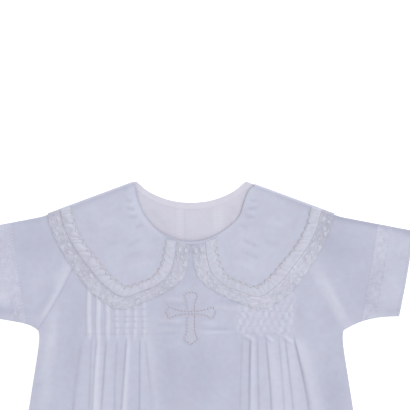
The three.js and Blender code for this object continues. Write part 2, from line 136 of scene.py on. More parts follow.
@dataclass(frozen=True)
class Cut:
    """Sizes and outlines of the flat gown, in millimetres; a drop is measured down from the neck point."""

    length: float = 607.0
    neck_half: float = 51.0
    neck_point: float = 1.9
    front_neck_drop: float = 55.0
    back_neck_drop: float = 19.0
    shoulder_slope: float = 0.37
    shoulder_tip: float = 88.0
    sleeve_slope: float = 0.19
    sleeve_bend: float = 130.0
    bend_length: float = 8.0
    underarm_half: float = 138.0
    underarm_drop: float = 133.0
    chest_half: float = 136.0
    chest_drop: float = 142.0
    side_flare: float = 0.163
    wall: float = 1.0
    layer: float = 1.3
    cuff_bottom: float = 188.0
    smock_from: float = 86.0
    smock_to: float = 139.0
    turned_at_fold: float = 5.8
    turned_fade: float = 7.0
    turned_below: float = 2.5
    turned_drop: float = 32.0
    turned_length: float = 9.0
    turned_width: float = 0.5
    turned_depth: float = 12.0

    @property
    def roll(self) -> float:
        """Radius of the collar's roll over the shoulder."""
        return 1.5 * self.layer

    @property
    def roll_normal(self) -> tuple[float, float]:
        """Direction out of the shoulder line, across and up."""
        size = math.hypot(self.shoulder_slope, 1.0)
        return self.shoulder_slope / size, 1.0 / size

    @property
    def top_y(self) -> float:
        """Where a drop of zero lies along the gown."""
        return (self.length + self.neck_point - (self.roll + self.wall / 2) * self.roll_normal[1]) / 2

    @property
    def tip_drop(self) -> float:
        """Drop of the shoulder tip."""
        return float(self.top_drop(np.array(self.shoulder_tip)))

    def top_drop(self, x: Grid) -> Grid:
        """Upper edge of the flat gown: shoulder line, then the sleeve's fold.

        Args:
            x: Places across the gown.

        Returns:
            The drops of the edge.
        """
        bend = np.maximum(0.0, x - self.sleeve_bend)
        eased = np.minimum(bend, self.bend_length)
        flatter = eased**2 / (2 * self.bend_length) + bend - eased
        shoulder = self.neck_point + self.shoulder_slope * (x - self.neck_half)
        return shoulder - (self.shoulder_slope - self.sleeve_slope) * flatter

    def body_half(self, drop: Grid) -> Grid:
        """Half width of the body: armhole above, flaring side seam below.

        Args:
            drop: Places down the gown.

        Returns:
            The half widths.
        """
        share = np.clip((drop - self.tip_drop) / (self.underarm_drop - self.tip_drop), 0.0, 1.0)
        armhole = self.shoulder_tip + (self.underarm_half - self.shoulder_tip) * share**1.5
        line = self.chest_half + self.side_flare * (drop - self.chest_drop)
        corner = self.underarm_half - self.chest_half
        corner += self.side_flare * (self.chest_drop - self.underarm_drop)
        seam = line + corner * np.exp(-np.maximum(0.0, drop - self.underarm_drop) / 6.0)
        return np.where(drop <= self.underarm_drop, armhole, seam)

    def under_drop(self, lie: SleeveLie, x: Grid) -> Grid:
        """Lower edge of a sleeve, from the underarm to the cuff.

        Args:
            lie: How the sleeve lies.
            x: Places across the gown.

        Returns:
            The drops of the edge.
        """
        end = self.cuff_bottom + lie.out
        rest = np.clip((end - x) / (end - self.underarm_half), 0.0, 1.0)
        return lie.cuff_drop + lie.slant * rest + lie.hollow * rest**lie.power

    def front_neck(self, x: Grid) -> Grid:
        """Drop of the front neck edge."""
        return self.front_neck_drop * np.sqrt(np.maximum(0.0, 1.0 - (x / self.neck_half) ** 2))

    def turned_by(self, below: Grid, drop: Grid) -> Grid:
        """How far the right front neck edge lies turned back.

        Args:
            below: Distances below the shoulder line.
            drop: Drops of the same places.

        Returns:
            The distances outwards.
        """
        upper = self.turned_at_fold * np.exp(-np.maximum(0.0, below) / self.turned_fade)
        return upper + self.turned_below * swell(drop - self.turned_drop, self.turned_length)

    def turn_back(self, x: Grid, drop: Grid) -> tuple[Grid, Grid]:
        """Moves places by the right front neck edge outwards, where the edge lies turned back.

        Args:
            x: Places across the gown.
            drop: Places down the gown.

        Returns:
            The moved places, across and down.
        """
        rim = np.hypot(x / self.neck_half, drop / self.front_neck_drop) - 1.0
        below = drop - self.top_drop(x)
        far = self.turned_by(below, drop) * (1.0 - smooth(0.0, self.turned_width, rim)) * (x > 0.0)
        return x + far, drop + self.shoulder_slope * far * (1.0 - smooth(0.0, self.turned_depth, below))

    def back_neck(self, x: Grid) -> Grid:
        """Drop of the back neck edge."""
        return self.back_neck_drop * (1.0 - np.minimum(np.abs(x / self.neck_half), 1.0) ** 2.2)

    def back_level(self, x: Grid, drop: Grid) -> Grid:
        """Middle height of the back, which lies on the back half of the collar."""
        across = 1.0 - smooth(132.0, 158.0, np.abs(x))
        return self.layer * across * (1.0 - smooth(176.0, 216.0, drop)) + self.wall / 2

    def front_level(self, x: Grid, drop: Grid) -> Grid:
        """Middle height of the front, which lies on the back and rides over the placket."""
        ride = (1.0 - smooth(10.0, 34.0, np.abs(x))) * (1.0 - smooth(180.0, 230.0, drop))
        return self.back_level(x, drop) + self.layer + 1.4 * ride

    def collar_level(self, x: Grid, drop: Grid) -> Grid:
        """Middle height of the front half of the collar."""
        return self.front_level(x, drop) + self.layer + 0.9 * smooth(68.0, 85.0, drop)

    def place(self, x: Grid, drop: Grid, height: Grid) -> Grid:
        """Points in millimetres in the gown's frame."""
        return np.stack(np.broadcast_arrays(x, self.top_y - drop, height), axis=-1).astype(float)

    def yoke(self, top: Grid, low: Grid, outer: Grid, start: Grid, rows: int) -> tuple[Grid, Grid]:
        """Rows of places from the neck and shoulder edge down to where the smocking starts.

        Args:
            top: Columns at the upper edge.
            low: Columns where the smocking starts.
            outer: How far each column follows the armhole.
            start: Drops of the upper edge.
            rows: Number of rows, the last of which is left to the panel below.

        Returns:
            The places across and down, rows by columns.
        """
        part = np.linspace(0.0, 1.0, rows)[:-1, None]
        drop = mix(start, self.smock_from, part)
        straight = mix(self.shoulder_tip, self.body_half(np.array(self.smock_from)), part)
        return mix(top, low, part) + outer * (self.body_half(drop) - straight), drop


CUT = Cut()


@dataclass(frozen=True)
class Crease:
    """A soft trough or ridge laid in the cloth, with painted shade or a painted highlight along it; with a
    height of 0 it is a patch of painted shade alone.

    Attributes:
        x: Start across the gown.
        drop: Start down the gown.
        to_x: End across the gown.
        to_drop: End down the gown.
        height: Height of a ridge, or below zero the depth of a trough.
        width: Half width of the soft profile.
        tone: Painted shade along its middle, above zero darker; below zero a painted highlight.
    """

    x: float
    drop: float
    to_x: float
    to_drop: float
    height: float
    width: float
    tone: float

    def lay(self, x: Grid, drop: Grid) -> tuple[Grid, Grid]:
        """Heights and shading that the crease gives each place.

        Args:
            x: Places across the gown.
            drop: Places down the gown.

        Returns:
            The heights and the shading.
        """
        run_x, run_drop = self.to_x - self.x, self.to_drop - self.drop
        length = math.hypot(run_x, run_drop)
        along = ((x - self.x) * run_x + (drop - self.drop) * run_drop) / length**2
        across = ((x - self.x) * run_drop - (drop - self.drop) * run_x) / length
        soft = min(0.5, self.width / length)
        ends = smooth(-soft, 0.35, along) * (1.0 - smooth(0.65, 1.0 + soft, along))
        share = ends * swell(across, self.width)
        # The tone paints shade along the crease, or a highlight where it is below zero.
        return self.height * share, self.tone * share


@dataclass(frozen=True)
class SkirtFold:
    """A fold that the smocking lets out into the skirt, steep on its left and easy on its right.

    Attributes:
        x: Place across the gown where it leaves the smocking.
        fan: How fast it spreads outwards.
        height: Height of its ridge.
        width: Width of its easy slope where it starts.
        line: Darkness of the painted shadow line along its steep side.
        highlight: Painted highlight on its easy slope.
        reach: Drop where it has faded out.
    """

    x: float
    fan: float
    height: float
    width: float
    line: float
    glow: float
    reach: float

    def lay(self, x: Grid, drop: Grid) -> tuple[Grid, Grid]:
        """Heights and shading that the fold gives each place.

        Args:
            x: Places across the gown.
            drop: Places down the gown.

        Returns:
            The heights and the shading.
        """
        fall = np.maximum(0.0, drop - 143.0)
        waver = 0.5 * np.sin(drop / 21.0 + self.x) * np.minimum(1.0, fall / 60.0)
        across = x - self.x - self.fan * 230.0 * (1.0 - np.exp(-fall / 230.0)) - waver
        wide, steep = self.width * (1.0 + fall / 120.0), 1.15 * (1.0 + fall / 220.0)
        rise = smooth(136.0, 150.0, drop) * (1.0 - 0.5 * smooth(230.0, 420.0, drop))
        held = rise * (1.0 - smooth(mix(140.0, self.reach, 0.55), self.reach, drop))
        lift = held * (1.0 - 0.6 * smooth(200.0, 300.0, drop))
        ridge = np.where(across < 0.0, swell(across, steep), 1.0 / (1.0 + (across / wide) ** 2))
        # Painted shadow line along the steep side and painted highlight on the easy slope.
        faint = 0.72 + 0.28 * np.sin(drop / 12.0 + 3.0 * self.x)
        dark = self.line * faint * swell(across + 0.8 * steep, 0.6 * steep)
        return self.height * lift * ridge, held * (dark - self.glow * swell(across - 0.5 * wide, wide))


def lay(marks: Sequence[Crease | SkirtFold], x: Grid, drop: Grid) -> tuple[Grid, Grid]:
    """Adds up creases and folds.

    Args:
        marks: The creases or folds.
        x: Places across the gown.
        drop: Places down the gown.

    Returns:
        The heights, and the shading: above zero darker and below zero paler.
    """
    height = np.zeros(np.broadcast(x, drop).shape)
    shade = np.zeros_like(height)
    for mark in marks:
        rise, tone = mark.lay(x, drop)
        height += rise
        shade += tone
    return height, shade


class Curve:
    """A smooth curve through stations, with a share of 0 to 1 from the first to the last."""

    def __init__(self, stations: Sequence[tuple[float, float]]) -> None:
        """Keeps the stations, with one more beyond each end.

        Args:
            stations: Places that the curve goes through, across and down.
        """
        spots = np.array(stations, dtype=float)
        first, last = 2 * spots[:1] - spots[1:2], 2 * spots[-1:] - spots[-2:-1]
        self.spots = np.concatenate([first, spots, last])
        self.pieces = len(stations) - 1

    def at(self, share: Grid) -> Grid:
        """Places on the curve.

        Args:
            share: Shares of the way from the first station to the last.

        Returns:
            The places, with across and drop on the last axis.
        """
        way = np.clip(share, 0.0, 1.0) * self.pieces
        piece = np.minimum(way.astype(int), self.pieces - 1)
        t = (way - piece)[..., None]
        before, here, there, after = (self.spots[piece + i] for i in range(4))
        gap = [np.sqrt(np.linalg.norm(b - a, axis=-1, keepdims=True))
               for a, b in ((before, here), (here, there), (there, after))]
        leave = (here - before) / gap[0] - (there - before) / (gap[0] + gap[1]) + (there - here) / gap[1]
        arrive = (there - here) / gap[1] - (after - here) / (gap[1] + gap[2]) + (after - there) / gap[2]
        leave, arrive = leave * gap[1], arrive * gap[1]
        bend = -3 * here + 3 * there - 2 * leave - arrive
        twist = 2 * here - 2 * there + leave + arrive
        return here + leave * t + bend * t**2 + twist * t**3

    def evenly(self, along: Grid) -> Grid:
        """Shares of the curve for shares of its length.

        Args:
            along: Shares of the length.

        Returns:
            The shares of the way between its stations.
        """
        share = np.linspace(0.0, 1.0, 401)
        spots = self.at(share)
        length = np.concatenate([[0.0], np.cumsum(np.linalg.norm(np.diff(spots, axis=0), axis=1))])
        return np.interp(along, length / length[-1], share)


class Maker:
    """Turns arrays of points in millimetres into meshes."""

    @staticmethod
    def piece(
        name: str, points: Grid, faces: list[list[int]], shade: Grid | None = None,
    ) -> bpy.types.Object:
        """Makes one smooth mesh object.

        Args:
            name: Name of the piece.
            points: Points, three numbers each.
            faces: Point numbers of each face.
            shade: Shading of each point, or nothing.

        Returns:
            The object, linked to the scene.
        """
        mesh = bpy.data.meshes.new(name)
        mesh.from_pydata((points * MM).tolist(), [], faces)
        mesh.polygons.foreach_set("use_smooth", np.ones(len(mesh.polygons), dtype=bool))
        layer = mesh.attributes.new("shade", "FLOAT", "POINT")
        tones = np.zeros(len(points)) if shade is None else shade
        layer.data.foreach_set("value", tones.astype(np.float32))
        mesh.update()
        made = bpy.data.objects.new(name, mesh)
        bpy.context.scene.collection.objects.link(made)
        return made

    @classmethod
    def shell(
        cls, name: str, middle: Grid, shade: Grid, wrap: bool = False, thick: float = CLOTH,
    ) -> bpy.types.Object:
        """Makes a closed thin shell on both sides of a grid of points.

        Args:
            name: Name of the piece.
            middle: Grid of middle points, rows by columns by three.
            shade: Shading of each grid point.
            wrap: Whether the last column joins the first.
            thick: Thickness of the cloth.

        Returns:
            The object.
        """
        rows, columns = middle.shape[:2]
        across = np.roll(middle, -1, 1) - np.roll(middle, 1, 1) if wrap else np.gradient(middle, axis=1)
        away = np.cross(across, np.gradient(middle, axis=0))
        away /= np.maximum(np.linalg.norm(away, axis=2, keepdims=True), 1e-9)
        points = np.concatenate([middle + away * thick / 2, middle - away * thick / 2]).reshape(-1, 3)
        points[:, 2] += SETTLE
        number = np.arange(rows * columns).reshape(rows, columns)
        number = np.concatenate([number, number[:, :1]], axis=1) if wrap else number
        under = number + rows * columns

        def quads(a: Grid, b: Grid, c: Grid, d: Grid) -> Grid:
            """Joins four arrays of point numbers into faces."""
            return np.stack([a, b, c, d], axis=-1).reshape(-1, 4)

        faces = [
            quads(number[:-1, :-1], number[1:, :-1], number[1:, 1:], number[:-1, 1:]),
            quads(under[:-1, :-1], under[:-1, 1:], under[1:, 1:], under[1:, :-1]),
            quads(number[0, :-1], number[0, 1:], under[0, 1:], under[0, :-1]),
            quads(number[-1, :-1], under[-1, :-1], under[-1, 1:], number[-1, 1:]),
        ]
        if not wrap:
            faces.append(quads(number[:-1, 0], under[:-1, 0], under[1:, 0], number[1:, 0]))
            faces.append(quads(number[:-1, -1], number[1:, -1], under[1:, -1], under[:-1, -1]))
        joined = np.concatenate(faces)
        a, b, c = (points[joined[:, i]] for i in range(3))
        if np.einsum("ij,ij->", a - points.mean(0), np.cross(b - a, c - a)) < 0:
            joined = joined[:, ::-1]
        made = cls.piece(name, points, joined.tolist(), np.tile(shade.reshape(-1), 2))
        runs = [face[row] for face in (number, under) for row in (0, -1)]
        if not wrap:
            runs += [face[:, column] for face in (number, under) for column in (0, -1)]
        cls.crisp(made.data, np.concatenate([np.stack([run[:-1], run[1:]], axis=1) for run in runs]))
        return made

    @staticmethod
    def crisp(mesh: bpy.types.Mesh, pairs: Grid) -> None:
        """Marks edges as sharp, so that a cut edge doesn't round off the shading of the cloth beside it.

        Args:
            mesh: The mesh.
            pairs: The two point numbers of each edge to mark.
        """
        ends = np.empty(2 * len(mesh.edges), dtype=np.int32)
        mesh.edges.foreach_get("vertices", ends)
        ends = np.sort(ends.reshape(-1, 2).astype(np.int64), axis=1)
        pairs = np.sort(pairs.astype(np.int64), axis=1)
        size = len(mesh.vertices)
        sharp = np.isin(ends[:, 0] * size + ends[:, 1], pairs[:, 0] * size + pairs[:, 1])
        mesh.attributes.new("sharp_edge", "BOOLEAN", "EDGE").data.foreach_set("value", sharp)

    @classmethod
    def threads(
        cls, name: str, paths: Grid, radius: float, sides: int = 5, taper: float = 0.0,
    ) -> bpy.types.Object:
        """Makes one joined mesh of many threads.

        Args:
            name: Name of the piece.
            paths: Threads by points by three.
            radius: Radius of a thread.
            sides: Number of sides of a thread.
            taper: How much thinner a thread is at its ends.

        Returns:
            The object.
        """
        count, steps = paths.shape[:2]
        along = np.gradient(paths, axis=1)
        along /= np.maximum(np.linalg.norm(along, axis=2, keepdims=True), 1e-9)
        beside = np.cross(along, np.array([0.0, 0.0, 1.0]))
        beside /= np.maximum(np.linalg.norm(beside, axis=2, keepdims=True), 1e-9)
        over = np.cross(beside, along)
        turn = np.linspace(0.0, 2 * math.pi, sides, endpoint=False)
        girth = radius * (1.0 - taper * np.abs(np.linspace(-1.0, 1.0, steps)) ** 3)
        ring = np.cos(turn)[:, None] * beside[:, :, None] + np.sin(turn)[:, None] * over[:, :, None]
        points = (paths[:, :, None] + girth[None, :, None, None] * ring).reshape(-1, 3)
        number = np.arange(count * steps * sides).reshape(count, steps, sides)
        beyond = np.roll(number, -1, axis=2)
        skin = np.stack([number[:, :-1], beyond[:, :-1], beyond[:, 1:], number[:, 1:]], axis=-1)
        ends = number[:, 0, ::-1].tolist() + number[:, -1].tolist()
        return cls.piece(name, points, skin.reshape(-1, 4).tolist() + ends)

    @classmethod
    def patches(cls, name: str, rims: Grid, rise: float) -> bpy.types.Object:
        """Makes one joined mesh of many small domed patches.

        Args:
            name: Name of the piece.
            rims: Patches by rim points by three.
            rise: Height of each patch's middle over its rim.

        Returns:
            The object.
        """
        count, steps = rims.shape[:2]
        top = rims.mean(axis=1, keepdims=True) + np.array([0.0, 0.0, rise])
        half = mix(rims, top, 0.45) + np.array([0.0, 0.0, 0.45 * rise])
        points = np.concatenate([rims, half, top], axis=1).reshape(-1, 3)
        base = np.arange(count)[:, None] * (2 * steps + 1)
        rim = base + np.arange(steps)
        inner = rim + steps
        after, inner_after = np.roll(rim, -1, axis=1), np.roll(inner, -1, axis=1)
        skirt = np.stack([rim, after, inner_after, inner], axis=-1).reshape(-1, 4).tolist()
        middle = np.broadcast_to(base + 2 * steps, rim.shape)
        crown = np.stack([inner, inner_after, middle], axis=-1).reshape(-1, 3).tolist()
        return cls.piece(name, points, skirt + crown)


class Bench:
    """A small helper that adds and joins shader nodes in one tree."""

    def __init__(self, tree: bpy.types.NodeTree) -> None:
        """Keeps the tree."""
        self.tree = tree

    def add(
        self, kind: str, values: dict[str | int, object] | None = None, **settings: object,
    ) -> bpy.types.Node:
        """Adds a node.

        Args:
            kind: Blender's name for the node.
            values: Input values or sockets to join, by input name or number.
            settings: Properties of the node.

        Returns:
            The node.
        """
        node = self.tree.nodes.new(kind)
        for key, value in settings.items():
            setattr(node, key, value)
        self.put(node, values or {})
        return node

    def put(self, node: bpy.types.Node, values: dict[str | int, object]) -> None:
        """Sets or joins inputs of a node.

        Args:
            node: The node.
            values: Input values or sockets to join, by input name or number.
        """
        for key, value in values.items():
            socket = node.inputs[key]
            if isinstance(value, bpy.types.NodeSocket):
                self.tree.links.new(value, socket)
            else:
                socket.default_value = value

    def maths(self, operation: str, first: object, second: object = 0.0) -> bpy.types.NodeSocket:
        """Adds a sum of two values and gives its result."""
        node = self.add("ShaderNodeMath", {0: first, 1: second}, operation=operation)
        return node.outputs[0]

    def blend(self, first: object, second: object, share: object) -> bpy.types.NodeSocket:
        """Adds a mix of two colours and gives its result."""
        node = self.add("ShaderNodeMix", {0: share, 6: first, 7: second}, data_type="RGBA")
        return node.outputs[2]


class Effects:
    """Shader effects that several finishes share, each built once."""

    @staticmethod
    def _group(
        name: str, takes: dict[str, str], gives: dict[str, str],
    ) -> tuple[bpy.types.NodeTree, Bench, dict[str, bpy.types.NodeSocket]]:
        """Starts a node group with named inputs and outputs.

        Args:
            name: Name of the effect.
            takes: Input names and their kinds.
            gives: Output names and their kinds.

        Returns:
            The tree, a bench for it, and its inputs by name.
        """
        tree = bpy.data.node_groups.new(name, "ShaderNodeTree")
        for way, labels in (("INPUT", takes), ("OUTPUT", gives)):
            for label, kind in labels.items():
                tree.interface.new_socket(label, in_out=way, socket_type=f"NodeSocket{kind}")
        bench = Bench(tree)
        given = bench.add("NodeGroupInput").outputs
        return tree, bench, {label: given[label] for label in takes}

    @classmethod
    @cache
    def weave(cls) -> bpy.types.NodeTree:
        """Plain weave of fine threads: a height that rises and falls with warp and weft.

        Returns:
            The node group.
        """
        tree, bench, given = cls._group(
            "plain weave", {"Place": "Vector", "Threads": "Float"}, {"Height": "Float", "Slub": "Float"})
        place = given["Place"]
        values = {"Vector": place, "Scale": given["Threads"], "Distortion": 0.6, "Detail": 1.0,
                  "Detail Scale": 0.2}
        warp, weft = (bench.add("ShaderNodeTexWave", values, bands_direction=way) for way in "XY")
        slub = bench.add("ShaderNodeTexNoise", {"Vector": place, "Scale": 420.0, "Detail": 3.0})
        crossed = bench.maths("MAXIMUM", warp.outputs["Fac"], weft.outputs["Fac"])
        bench.add("NodeGroupOutput", {"Height": crossed, "Slub": slub.outputs["Fac"]})
        return tree

    @classmethod
    @cache
    def tone(cls) -> bpy.types.NodeTree:
        """Colour of sheer cloth: painted shade in creases, a painted highlight on ridges, paler at doubled
        seams, lightly mottled.

        Returns:
            The node group.
        """
        takes = {"Place": "Vector", "Colour": "Color", "Deep": "Color", "Pale": "Color", "Shade": "Float",
                 "Mottle": "Float"}
        tree, bench, given = cls._group("sheer cloth tone and painted shade", takes, {"Colour": "Color"})

        def noise(scale: float, detail: float) -> bpy.types.NodeSocket:
            """Adds soft noise at a scale and gives its value."""
            values = {"Vector": given["Place"], "Scale": scale, "Detail": detail}
            return bench.add("ShaderNodeTexNoise", values).outputs["Fac"]

        both = bench.maths("ADD", noise(26.0, 2.0), noise(210.0, 3.0))
        drift = bench.maths("MULTIPLY", bench.maths("SUBTRACT", both, 1.0), given["Mottle"])
        # Shade above zero mixes in the painted shade colour, and below zero the painted highlight colour.
        total = bench.maths("ADD", given["Shade"], drift)
        dark = bench.add("ShaderNodeClamp", {"Value": total})
        light = bench.add("ShaderNodeClamp", {"Value": bench.maths("MULTIPLY", total, -1.0)})
        deeper = bench.blend(given["Colour"], given["Deep"], dark.outputs[0])
        paler = bench.blend(deeper, given["Pale"], light.outputs[0])
        patchy = bench.add("ShaderNodeMapRange", {"Value": noise(95.0, 2.0), 1: 0.38, 2: 0.62})
        rosy = bench.add("ShaderNodeMix", {0: patchy.outputs[0], 6: paler, 7: (1.0, 0.975, 0.985, 1.0)},
                         data_type="RGBA", blend_type="MULTIPLY")
        bench.add("NodeGroupOutput", {"Colour": rosy.outputs[2]})
        return tree

    @classmethod
    @cache
    def net(cls) -> bpy.types.NodeTree:
        """Net ground of lace: 1 on the threads and 0 in the small holes.

        Returns:
            The node group.
        """
        tree, bench, given = cls._group(
            "lace net", {"Place": "Vector", "Cells": "Float", "Thread": "Float"}, {"Mask": "Float"})
        cells = bench.add(
            "ShaderNodeTexVoronoi", {"Vector": given["Place"], "Scale": given["Cells"], "Randomness": 0.45},
            feature="DISTANCE_TO_EDGE", voronoi_dimensions="2D")
        bench.add("NodeGroupOutput",
                  {"Mask": bench.maths("LESS_THAN", cells.outputs["Distance"], given["Thread"])})
        return tree


@dataclass(frozen=True)
class ClothFinish:
    """A finish of woven cloth.

    Attributes:
        name: Name of the material.
        colour: Colour of the cloth.
        deep: Colour of the painted shade in creases.
        pale: Colour of the painted highlight on ridges, and of the cloth where it is doubled.
        mottle: Strength of the light mottling.
        threads: Weave scale.
        relief: Depth of the weave's relief.
        net: Cells of the net per metre, or 0 for closed cloth.
        net_thread: Half width of the net's threads, in cells.
        net_passes: Share of the light that the net lets through.
    """

    name: str
    colour: Colour
    deep: Colour
    pale: Colour
    mottle: float = 0.35
    threads: float = 820.0
    relief: float = 0.12
    net: float = 0.0
    net_thread: float = 0.34
    net_passes: float = 0.75

    @cache
    def material(self) -> bpy.types.Material:
        """Builds the material once and gives it.

        Returns:
            The material.
        """
        made = bpy.data.materials.new(self.name)
        made.use_nodes = True
        bench = Bench(made.node_tree)
        shader = made.node_tree.nodes["Principled BSDF"]
        place = bench.add("ShaderNodeTexCoord").outputs["Object"]
        shade = bench.add("ShaderNodeAttribute", attribute_name="shade").outputs["Fac"]
        values = {"Place": place, "Threads": self.threads}
        weave = bench.add("ShaderNodeGroup", values, node_tree=Effects.weave())
        tints = {"Colour": self.colour, "Deep": self.deep, "Pale": self.pale}
        values = {"Place": place, "Shade": shade, "Mottle": self.mottle}
        values |= {label: (*tint, 1.0) for label, tint in tints.items()}
        tone = bench.add("ShaderNodeGroup", values, node_tree=Effects.tone())
        height = bench.maths("ADD", weave.outputs["Height"], weave.outputs["Slub"])
        bump = bench.add("ShaderNodeBump", {"Strength": self.relief, "Distance": 0.0002, "Height": height})
        bench.put(shader, {
            "Base Color": tone.outputs["Colour"], "Normal": bump.outputs["Normal"], "Roughness": 0.85,
            "Specular IOR Level": 0.2, "Sheen Weight": 0.08})
        if self.net:
            values = {"Place": place, "Cells": self.net, "Thread": self.net_thread}
            net = bench.add("ShaderNodeGroup", values, node_tree=Effects.net())
            ray = bench.add("ShaderNodeLightPath").outputs
            passing = bench.maths("MAXIMUM", ray["Is Shadow Ray"], ray["Is Diffuse Ray"])
            stopped = bench.maths("SUBTRACT", 1.0, bench.maths("MULTIPLY", passing, self.net_passes))
            bench.put(shader, {"Alpha": bench.maths("MULTIPLY", net.outputs["Mask"], stopped)})
        return made


@dataclass(frozen=True)
class ThreadFinish:
    """A finish of sewing or embroidery thread.

    Attributes:
        name: Name of the material.
        colour: Colour of the thread.
        roughness: Roughness of the thread.
        twist: Scale of the twist that shows along it.
    """

    name: str
    colour: Colour
    roughness: float = 0.7
    twist: float = 900.0

    @cache
    def material(self) -> bpy.types.Material:
        """Builds the material once and gives it.

        Returns:
            The material.
        """
        made = bpy.data.materials.new(self.name)
        made.use_nodes = True
        bench = Bench(made.node_tree)
        shader = made.node_tree.nodes["Principled BSDF"]
        place = bench.add("ShaderNodeTexCoord").outputs["Object"]
        ply = bench.add("ShaderNodeTexWave", {"Vector": place, "Scale": self.twist, "Distortion": 1.0},
                        bands_direction="DIAGONAL").outputs["Fac"]
        dark = tuple(0.78 * part for part in self.colour)
        bump = bench.add("ShaderNodeBump", {"Strength": 0.3, "Distance": 0.0002, "Height": ply})
        bench.put(shader, {
            "Base Color": bench.blend((*dark, 1.0), (*self.colour, 1.0), ply),
            "Normal": bump.outputs["Normal"], "Roughness": self.roughness})
        return made


# Each cloth finish gives its colour, the colour of its painted shade, and the colour of its painted
# highlight and doubled cloth.
BATISTE = ClothFinish(
    "white batiste", (0.49, 0.512, 0.62), (0.33, 0.345, 0.445), (0.68, 0.69, 0.78))
COLLAR_CLOTH = ClothFinish(
    "collar batiste", (0.512, 0.533, 0.639), (0.35, 0.365, 0.46), (0.69, 0.70, 0.78))
INSIDE = ClothFinish(
    "single layer of batiste", (0.592, 0.59, 0.676), (0.41, 0.41, 0.49), (0.72, 0.71, 0.78))
PUFFED = ClothFinish(
    "gathered batiste", (0.54, 0.558, 0.652), (0.40, 0.402, 0.47), (0.66, 0.682, 0.785), mottle=0.4)
NET = ClothFinish(
    "lace net", (0.505, 0.514, 0.604), (0.36, 0.365, 0.44), (0.68, 0.695, 0.79), mottle=1.5, net=2000.0)
INSERTION = ClothFinish(
    "insertion net", (0.54, 0.557, 0.67), (0.40, 0.41, 0.50), (0.68, 0.69, 0.79), mottle=1.3, net=2000.0)
MOTIF = ThreadFinish("lace thread", (0.617, 0.634, 0.74), 0.8)
INSERTION_MOTIF = ThreadFinish("insertion thread", (0.585, 0.60, 0.712), 0.8)
SEAM = ThreadFinish("seam thread", (0.76, 0.765, 0.86))
SEWING = ThreadFinish("white sewing thread", (0.60, 0.605, 0.69))
FOOTING = ThreadFinish("lace footing thread", (0.64, 0.625, 0.70), 0.8)
FEATHER = ThreadFinish("feather stitch thread", (0.71, 0.668, 0.70), 0.75)
CROSS = ThreadFinish("cross embroidery thread", (0.71, 0.655, 0.725), 0.6)
# A darker thread laid inside the cross's cord, which paints the cord's shadow.
CROSS_SHADOW = ThreadFinish("cross painted shadow thread", (0.59, 0.505, 0.575), 0.7)
BUTTON = ThreadFinish("pearl button", (0.80, 0.79, 0.80), 0.3, 300.0)


@dataclass(frozen=True)
class SheetCut:
    """The flat cut of one cloth piece, in metres.

    Attributes:
        width: Width of the cut.
        length: Length of the cut.
        held: How the cloth is held.
        rests_on: What it lies on.
    """

    width: float
    length: float
    held: Held
    rests_on: tuple[str, ...] = ()


class Dresser:
    """Puts finishes on pieces, sets them on the root body and hides the nodes that they stand for."""

    @staticmethod
    def dress(
        piece: bpy.types.Object, finish: ClothFinish | ThreadFinish, slot: Slot, *nodes: str,
    ) -> bpy.types.Object:
        """Gives a piece its finish and body, and hides the nodes that it stands for.

        Args:
            piece: The object.
            finish: Its finish.
            slot: The record's slot that it follows; not used.
            nodes: Nodes that it stands for.

        Returns:
            The same object.
        """
        piece.data.materials.append(finish.material())
        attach(piece, "root")
        if nodes:
            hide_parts(*nodes)
        LOG.info("%s: %d faces", piece.name, len(piece.data.polygons))
        return piece

    @classmethod
    def cloth(
        cls, piece: bpy.types.Object, finish: ClothFinish, slot: Slot, cut: SheetCut, *nodes: str,
    ) -> bpy.types.Object:
        """Gives a cloth piece its finish and body, and hides the nodes that it stands for.

        Args:
            piece: The object.
            finish: Its finish.
            slot: The record's slot that it follows; not used.
            cut: Its flat cut; not used.
            nodes: Nodes that it stands for.

        Returns:
            The same object.
        """
        cls.dress(piece, finish, slot, *nodes)
        return piece


@dataclass(frozen=True)
class Tuck:
    """One stitched-down tuck of the smocked panel.

    Attributes:
        x: Distance of its middle from the centre line.
        height: Height of its flat top.
        half: Half width of its flat top.
        highlight: Painted highlight on its top.
    """

    x: float
    height: float
    half: float
    glow: float


FOLD_SHARES = {
    Side.LEFT: (0.8, 0.35, 1.0, 0.4, 0.5, 1.0, 0.5),
    Side.RIGHT: (0.4, 0.9, 0.5, 0.4, 0.7, 0.8, 1.0),
}


